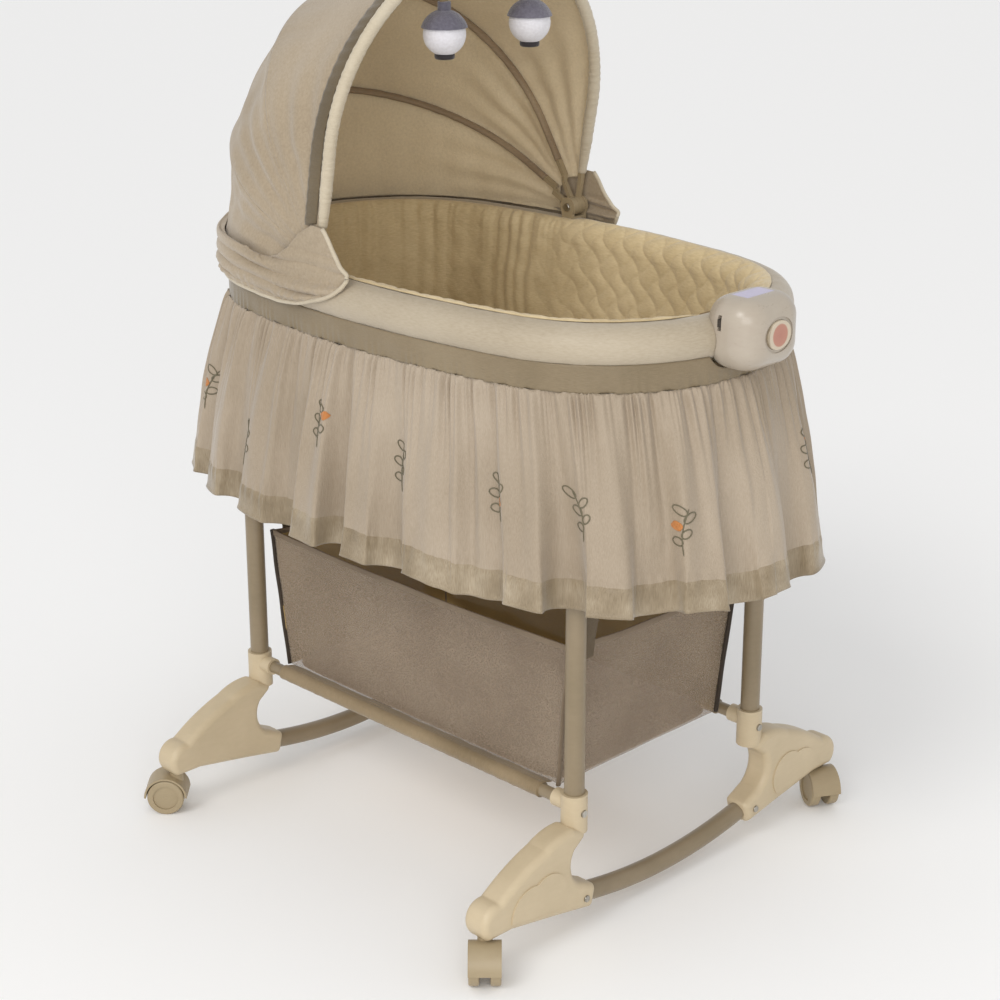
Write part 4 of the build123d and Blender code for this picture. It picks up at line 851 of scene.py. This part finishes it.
def on_bow(bow, t, grow=CLOTH_GAP, start=CLOTH_START):
    """Points along a bow, from the near side to the far side: two straights and a half round."""
    width = BOW_HALF_WIDTH + grow
    centre = BOW_REACHES[bow] - BOW_HALF_WIDTH
    straight = centre - start
    bend = math.pi * width
    way = t * (2 * straight + bend)
    turn = np.clip((way - straight) / width, 0, math.pi)
    past = np.maximum(straight - way, 0) + np.maximum(way - straight - bend, 0)
    outward = centre + width * np.sin(turn) - past
    points = PIVOT + outward[..., None] * ray(BOW_ANGLES[bow])
    points[..., 1] -= width * np.cos(turn)
    return points


def rim_ends(x):
    """Where the rim passes x on the near and on the far side, as shares of the way round."""
    share = shares(4001)
    point, _ = along_oval(RIM, share)
    past, near = point[:, 0] > x, point[:, 1] < 0
    return share[past & near].min(), share[past & (point[:, 1] > 0)].max()


def rear_foot(share):
    """The rear cloth's foot over the rim, at shares from the near to the far side."""
    return beside(along_oval(RIM, head_near + share * (head_far - head_near)), REAR_FOOT_OFFSET, REAR_FOOT_HEIGHT)[:, 0]


# Cloth stretched from bow to bow, with the creases that they pull into it
head_near, head_far = rim_ends(REAR_FOOT_X)
t, k = shares(PANEL_STEPS)[:, None], shares(PANEL_ROWS)
metres, across = t * 0.93, k * 0.2
lines = {"rim": rear_foot(t[:, 0]), **{bow: on_bow(bow, t[:, 0]) for bow in BOW_ANGLES}}
panels = (  # from where to which bow, seed, how far it stands out as a share of its span
    ("rear", "middle", 51, 0.001), ("middle", "front", 61, 0.003), ("rim", "rear", 71, -REAR_SINK),
)
for below, bow, seed, sag in panels:
    points = lines[below][:, None] * (1 - k)[:, None] + lines[bow][:, None] * k[:, None]
    span = np.linalg.norm(lines[bow] - lines[below], axis=-1)[:, None]
    tension = field_noise(metres, across, 0.050, 0.34, seed) * 0.0017 * np.clip(span / 0.12, 0.3, 1)
    pull = ripple(metres / 0.034, 4 * field_noise(metres, across, 0.2, 0.4, seed + 1)) * 0.0007
    pull = pull * (np.exp(-k / 0.10) + np.exp(-(1 - k) / 0.10))
    soft = field_noise(metres, across, 0.13, 0.16, seed + 2) * 0.0024
    drape = ripple(k * 3.1 + 0.15 * field_noise(metres, across, 0.3, 0.4, seed + 3), seed)
    drape = drape * 0.0030 * hill(np.minimum(t, 1 - t), 0.13, 0.10) * unit(span / 0.15)
    relief = 4 * k * (1 - k) * span * sag
    relief = relief + (tension + drape) * arch(k) ** 0.5 + pull * arch(k) ** 0.3 + soft * arch(k)
    piece = sheet(
        f"hood_cloth_{bow}", (points - grid_normals(points) * relief[..., None])[::-1], 0.0014,
        "hood_cotton hood_lining",
        body=None, stands_for=f"hood_panel_{bow}", inner_slot=1,
    )
    # The bows' angles on either side, its points from the pivots and the ends at those angles; none of them is used
    # further.
    low, high = BOW_ANGLES.get(below, REAR_FOOT_ANGLE), BOW_ANGLES[bow]
    away = coordinates(piece.data) - PIVOT
    start, end = (tuple(PIVOT + BOW_REACHES["front"] * ray(angle)) for angle in (low, high))
    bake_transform(piece)


def across_bow(bow):
    """The direction out of a bow's plane."""
    return np.cross(ray(BOW_ANGLES[bow]), (0, 1, 0))


def evened(points, times):
    """A line or a grid's rows with its corners rounded off."""
    for _ in range(times):
        points[..., 1:-1, :] = (points[..., :-2, :] + 2 * points[..., 1:-1, :] + points[..., 2:, :]) / 4
    return points


# Sleeves that hold the bows inside the cloth
SLEEVE_STEPS = 260
wobble = 1 + 0.06 * wave_noise(shares(SLEEVE_STEPS), 10, 50, 81)
for bow in ("rear", "middle"):
    line = on_bow(bow, np.linspace(0.03, 0.97, SLEEVE_STEPS), -0.0012)
    tube(
        f"bow_sleeve_{bow}", line, 0.0056 * wobble, 0.0042 * wobble, "bow_tape", 16,
        body=f"hood_{bow}", up=across_bow(bow),
    )

# Padded cream edge with a satin ribbon behind it
t = shares(520)
puckers = 1 + 0.035 * ripple(92 * t, 4 * wave_noise(t, 4, 30, 91)) + 0.03 * wave_noise(t, 3, 12, 92)
puckers = puckers * (0.72 + 0.28 * unit(np.minimum(t, 1 - t) / 0.05))
edge = tube(
    "hood_edge_roll", on_bow("front", t, 0.0, 0.046), 0.0078 * puckers, 0.0076 * puckers, "cream_binding", 22,
    body="hood_front", up=across_bow("front"), stands_for="hood_edge_binding",
)

RIBBON_START, RIBBON_BREADTH = 0.0045, 0.0215  # from the front bow's line, towards the middle bow
t, reach = np.linspace(0.012, 0.988, 380), shares(9)
span = np.linalg.norm(on_bow("front", t) - on_bow("middle", t), axis=-1)[:, None]
k = 1 - np.clip((RIBBON_START + RIBBON_BREADTH * reach) / span, 0, 0.75)
low, high = (on_bow(bow, t, CLOTH_GAP + 0.0012)[:, None] for bow in ("middle", "front"))
points = low * (1 - k)[..., None] + high * k[..., None]
relief = (
    0.0012 + 0.0004 * ripple(60 * t)[:, None] + 4 * k * (1 - k) * span * 0.012 + 0.0006 * arch(reach)
)
points = points + grid_normals(points) * relief[..., None]
sheet(
    "hood_edge_ribbon", points, 0.0008, "hood_ribbon_satin",
    body="hood_front",
)

# Cover that draws the hood's cloth round the head end of the pad
COVER_STEPS, COVER_ROWS = 900, 96
COVER_END_X = -0.0125
COVER_RADIUS = 0.0290  # from the rim's line to the cover on the pad
FLAP_Y, FLAP_NEAREST, FLAP_FARTHEST = 0.2386, 0.0165, 0.0246  # and the flaps' least and most offset
HEM_LINE = (  # x along the rim, height of the cover's hem
    (-0.38, 0.7370), (-0.30, 0.7315), (-0.142, 0.7315), (-0.095, 0.738), (-0.037, 0.7565), (-0.020, 0.767),
    (COVER_END_X, 0.780),
)
CREST_LINE = (  # x along the rim, height of the side flaps' crest
    (-0.230, 0.789), (-0.160, 0.788), (-0.138, 0.794), (-0.118, 0.807), (-0.098, 0.824), (-0.075, 0.8375),
    (-0.055, 0.8365), (-0.048, 0.830), (-0.035, 0.808), (-0.022, 0.795), (COVER_END_X, 0.7885),
)
BULGE_LINE = ((-0.5, 1.0), (-0.30, 0.9), (-0.12, 0.3), (-0.02, 0.0))
REAR_TOP = ((0.125, 0.0034), (0.10, 0.0054), (0.07, 0.0070))  # share up the rear cloth, offset from it
REAR_SIDE = (  # offset, more where it bulges, height
    (0.0262, 0.0040, 0.790), (0.0278, 0.0045, 0.779), (0.0294, 0.0030, 0.765), (0.0290, 0.0025, 0.752),
    (0.0278, 0.0008, 0.741), (0.0240, 0.0, 0.0),
)
SIDE_SHARES = np.array((0, 0.2, 0.38, 0.52, 0.63, 0.74, 0.84, 0.92, 1.0))

share = np.linspace(*rim_ends(COVER_END_X), COVER_STEPS)
rim = along_oval(RIM, share)
x = rim[0][:, 0]
bottom, crest, bulge = (np.interp(x, *np.transpose(line))[:, None] for line in (HEM_LINE, CREST_LINE, BULGE_LINE))

# Round the head end it leaves the rear cloth and goes over the pad
panel_t = unit((share - head_near) / (head_far - head_near))
foot, top = rear_foot(panel_t), on_bow("rear", panel_t)
up, out_by = np.array(REAR_TOP).T
sink = 4 * up * (1 - up) * REAR_SINK * np.linalg.norm(top - foot, axis=1)[:, None]
leaving = foot[:, None] * (1 - up)[:, None] + top[:, None] * up[:, None]
leaving[..., :2] += rim[1][:, None] * (out_by - sink)[..., None]
offset, more, height = np.array(REAR_SIDE).T
height = np.tile(height, (COVER_STEPS, 1))
height[:, -1:] = bottom
rear_rows = np.concatenate([leaving, beside(rim, offset + more * bulge, height)], 1)

# Beside the pivots it stands up as a flap
height = crest + (bottom - crest) * SIDE_SHARES
flap = np.clip(FLAP_Y - np.abs(rim[0][:, 1:]), FLAP_NEAREST, FLAP_FARTHEST)
over_pad = np.sqrt(np.maximum(COVER_RADIUS**2 - (height - RIM_HEIGHT) ** 2, 0))
under_pad = COVER_RADIUS - 0.0045 * ((RIM_HEIGHT - height) / 0.019) ** 2
side_rows = beside(rim, np.maximum(flap, np.where(height < RIM_HEIGHT, under_pad, over_pad)), height)

to_side = unit((x + 0.215) / 0.115)
to_side = (to_side**2 * (3 - 2 * to_side))[:, None, None]
rows = rear_rows * (1 - to_side) + side_rows * to_side
place = np.linspace(0, rows.shape[1] - 1, COVER_ROWS)
low = np.minimum(place.astype(int), rows.shape[1] - 2)
part = (place - low)[None, :, None]
points = evened(rows[:, low] * (1 - part) + rows[:, low + 1] * part, 14)

# Folds that fan out from the pivots, and tucks at the hem
height, s = points[..., 2], share[:, None]
metres = s * RIM_LENGTH
above_hem = height - bottom
from_front = np.minimum(metres - metres[0], metres[-1] - metres)
fan = height - 0.055 * np.clip(from_front, 0, 0.25) + 0.010 * field_noise(metres, height, 0.25, 0.5, 101)
ridge = np.abs(np.sin(math.pi * fan / 0.0165 + 0.9 * field_noise(metres, height, 0.12, 0.08, 102))) ** 0.75
zone = unit((0.808 - height) / 0.02) * unit((above_hem - 0.001) / 0.008)
strength = np.clip(0.65 + 0.5 * field_noise(metres, height, 0.10, 0.06, 103), 0.25, 1.2)
tucks = ripple(metres / 0.021, 4 * wave_noise(s, 3, 30, 105)) * unit(1 - above_hem / 0.03)
crumple = field_noise(metres, height, 0.05, 0.05, 104) * unit((height - 0.776) / 0.01)
relief = 0.0084 * (ridge - 0.42) * zone * strength + 0.0009 * tucks + 0.0010 * crumple * zone
points = points + grid_normals(points) * relief[..., None]
sheet(
    "hood_cover_cloth", points, 0.0013, "hood_cotton",
    stands_for="hood_rim_cover hood_side_flaps",
)

# Cream piping along the cover's hem and up its front edges
half = COVER_STEPS // 2
near, far = (edge[edge[:, 0] > -0.056] for edge in (points[:half, 0], points[half:, 0]))
path = np.concatenate([near[::-1][::3], points[0, 6::10], points[::6, -1], points[-1, :6:-10], far[::-1][::3]])
tube("hood_cover_piping", evened(path, 3), 0.0026, 0.0026, "cream_binding", 12)

# Dark felt foot under each toy: radius, depth under its top
TOY_FOOT = (
    (0.0122, 0), (0.0125, 0.0023), (0.0121, 0.0053), (0.0108, 0.0064), (0.004, 0.0066), (0.0001, 0.0066)
)
FOOT_SIDES = 36
angle = angles_round(FOOT_SIDES)
radius, depth = np.array(TOY_FOOT).T
faces = grid_faces(FOOT_SIDES, len(TOY_FOOT), True, flip=True)
for side, sign in (("left", -1), ("right", 1)):
    x, y = TOY_X + radius * np.cos(angle)[:, None], sign * TOY_Y + radius * np.sin(angle)[:, None]
    points = np.stack([x, y, TOY_BASE - depth + 0 * x], -1)
    dress(make_object(f"toy_foot_{side}", points, faces, "toy_dark_felt"), f"toy_{side}")

# ---- storage basket
BASKET_FLOOR, BASKET_TOP = 0.1766, 0.370
HALF_LENGTH, HALF_WIDTH = 0.258, 0.150
SIDE_LEAN, END_LEAN = 0.006, 0.021  # how far the walls lean out at the top
SIDE_SAG, END_SAG = 0.006, 0.010  # how far their top edges sag


def basket_wall(start, end, lean, longer, sag, seed):
    """A net wall between two corners of the floor; it leans out and gets longer at both ends going up."""
    start, end, lean = np.array((start, end, lean))
    s, v = shares(150)[:, None], shares(60)
    length, middle = np.linalg.norm(end - start), (start + end) / 2
    bottom = start * (1 - s)[..., None] + end * s[..., None]
    plane = middle + (bottom - middle) * (1 + v * 2 * longer / length)[:, None] + lean * v[:, None]
    belly = 0.004 * arch(s) * arch(v)
    belly = belly + 0.0012 * field_noise(s * length, v * 0.2, 0.09, 0.07, seed)
    plane = plane - np.sign(lean) * (0.0016 + belly)[..., None]
    height = BASKET_FLOOR + (BASKET_TOP - BASKET_FLOOR - sag * arch(s) ** 0.8) * v
    return np.concatenate([plane, height[..., None]], -1)


left_head, left_foot = (-HALF_LENGTH, -HALF_WIDTH), (HALF_LENGTH, -HALF_WIDTH)
right_head, right_foot = (-HALF_LENGTH, HALF_WIDTH), (HALF_LENGTH, HALF_WIDTH)
long_wall, short_wall = (END_LEAN, SIDE_SAG, "basket_tape"), (SIDE_LEAN, END_SAG, "basket_net_hem")
# The left and foot walls' inner faces take the darker net with painted shade. The right and head walls' take the nearly
# opaque net with painted shade under the skirt.
for side, start, end, lean, seed, inner, (longer, sag, tape) in (
    ("left", left_head, left_foot, (0, -SIDE_LEAN), 1, "basket_net_inside", long_wall),
    ("right", right_foot, right_head, (0, SIDE_LEAN), 2, "basket_net_shaded", long_wall),
    ("foot", left_foot, right_foot, (END_LEAN, 0), 3, "basket_net_inside", short_wall),
    ("head", right_head, left_head, (-END_LEAN, 0), 4, "basket_net_shaded", short_wall),
):
    points = basket_wall(start, end, lean, longer, sag, seed)
    sheet(
        f"basket_net_{side}", points, 0.0006, "basket_net " + inner,
        stands_for="basket_mesh" if side == "left" else "", inner_slot=1,
    )
    tube(
        f"basket_top_tape_{side}", points[:, -1] - [0, 0, 0.003], 0.0012, 0.0040, "basket_net_hem", 12,
        power=0.5,
    )
    tube(f"basket_corner_tape_{side}", points[0], 0.0040, 0.0030, tape, 12, up=(1, 0.3, 0))

# Cloth round the floor board: growth of the outline, height
BOARD_STEPS, BOARD_INSET = 200, 0.004
BOARD_ROWS = (
    (-0.004, 0.1768), (0.0, 0.1775), (0.0005, 0.1792), (0.0, 0.1808), (-0.004, 0.1814), (-0.03, 0.1816),
    (-0.15, 0.1817),
)
grow, height = np.array(BOARD_ROWS).T
angle = angles_round(BOARD_STEPS)[:, None]
x = squared(np.cos(angle), 0.14) * (HALF_LENGTH - BOARD_INSET + grow)
y = squared(np.sin(angle), 0.14) * (HALF_WIDTH - BOARD_INSET + grow * 0.97)
height = height + 0.0006 * field_noise(x, y, 0.12, 0.1, 5) * (np.arange(len(BOARD_ROWS)) > 3)
faces = grid_faces(BOARD_STEPS, len(BOARD_ROWS), True)
board = make_object("basket_board_cloth", np.stack([x, y, height], -1), faces, "board_cloth")
close_form(board.data, lambda form: bmesh.ops.holes_fill(form, edges=[e for e in form.edges if e.is_boundary]))
dress(board, stands_for="basket_floor")

# Sleeves round the rails, and the webs from them to the board
SLEEVE_HALF_LENGTH, SLEEVE_HEIGHT, SLEEVE_RADIUS = 0.246, 0.173, 0.0101
WEB_ROWS = 10
s = shares(SLEEVE_STEPS)[:, None]
down = shares(WEB_ROWS)
for side, sign in (("left", -1), ("right", 1)):
    line = np.hstack([SLEEVE_HALF_LENGTH * (2 * s - 1), 0 * s + sign * RAIL_Y, 0 * s + SLEEVE_HEIGHT])
    radius = SLEEVE_RADIUS * (1 + 0.03 * wave_noise(s[:, 0], 4, 40, 111))
    tube(f"basket_sleeve_{side}", line, radius, radius, "basket_sleeve_cloth", 20)
    y = sign * (HALF_WIDTH + 0.0005 + (RAIL_Y - HALF_WIDTH - 0.006) * down) + 0 * s
    height = 0.1788 + 0.0030 * down + 0.0005 * field_noise(s * 0.5, down * 0.02, 0.05, 0.02, 112)
    points = np.stack([line[:, :1] + 0 * y, y, height], -1)
    sheet(
        f"basket_web_{side}", points[::sign], 0.0012, "basket_sleeve_cloth",
    )

# ---- stage, light and camera
GROUND = 30  # half the floor's side
DAYLIGHT = 0.70
WINDOW_PLACE, WINDOW_AIM, WINDOW_SIZE, WINDOW_POWER = Vector((2.5, -2.5, 1.7)), Vector((0, 0, 0.65)), 2.2, 44
SUN_POWER, SUN_SPREAD, SUN_TURN = 0.80, 24, (48, 0, 8)
CAMERA_PLACE, CAMERA_LENS = (1.9213, -1.9094, 1.4306), 79.2
AZIMUTH, ELEVATION, ROLL = 45.1, 20.0, -0.08

Paint("pale_floor", 0.9, Base_Color=(0.97, 0.97, 0.97, 1))
corners = GROUND * np.array([(-1, -1, 0), (1, -1, 0), (1, 1, 0), (-1, 1, 0)])
make_object("floor", corners, np.arange(4)[None], "pale_floor")

scene = bpy.context.scene
world = bpy.data.worlds.new("soft_daylight")
world.use_nodes = True
background = world.node_tree.nodes["Background"].inputs
background["Color"].default_value = (1.0, 1.0, 1.0, 1)
background["Strength"].default_value = DAYLIGHT
scene.world = world


def lamp(name, kind, **settings):
    """A light with its settings."""
    data = bpy.data.lights.new(name, kind)
    for setting, value in settings.items():
        setattr(data, setting, value)
    return add_object(name, data)


window = lamp("front", "AREA", size=WINDOW_SIZE, energy=WINDOW_POWER, color=(1.0, 0.99, 0.97))
window.location = WINDOW_PLACE
window.rotation_mode = "QUATERNION"
window.rotation_quaternion = (WINDOW_AIM - WINDOW_PLACE).to_track_quat("-Z", "Y")
sun = lamp("key", "SUN", energy=SUN_POWER, angle=math.radians(SUN_SPREAD), color=(1.0, 0.985, 0.96))
sun.rotation_euler = np.radians(SUN_TURN)

camera_data = bpy.data.cameras.new("camera")
camera_data.lens = CAMERA_LENS
camera_data.sensor_width = 36
camera_data.clip_end = 100
camera = add_object("camera", camera_data)
azimuth, elevation = math.radians(AZIMUTH), math.radians(ELEVATION)
sight = -Vector(
    (math.sin(azimuth) * math.cos(elevation), -math.cos(azimuth) * math.cos(elevation), math.sin(elevation))
)
camera.location = CAMERA_PLACE
camera.rotation_mode = "QUATERNION"
camera.rotation_quaternion = sight.to_track_quat("-Z", "Y") @ Quaternion((0, 0, 1), math.radians(ROLL))
scene.camera = camera
scene.view_settings.view_transform = "Standard"
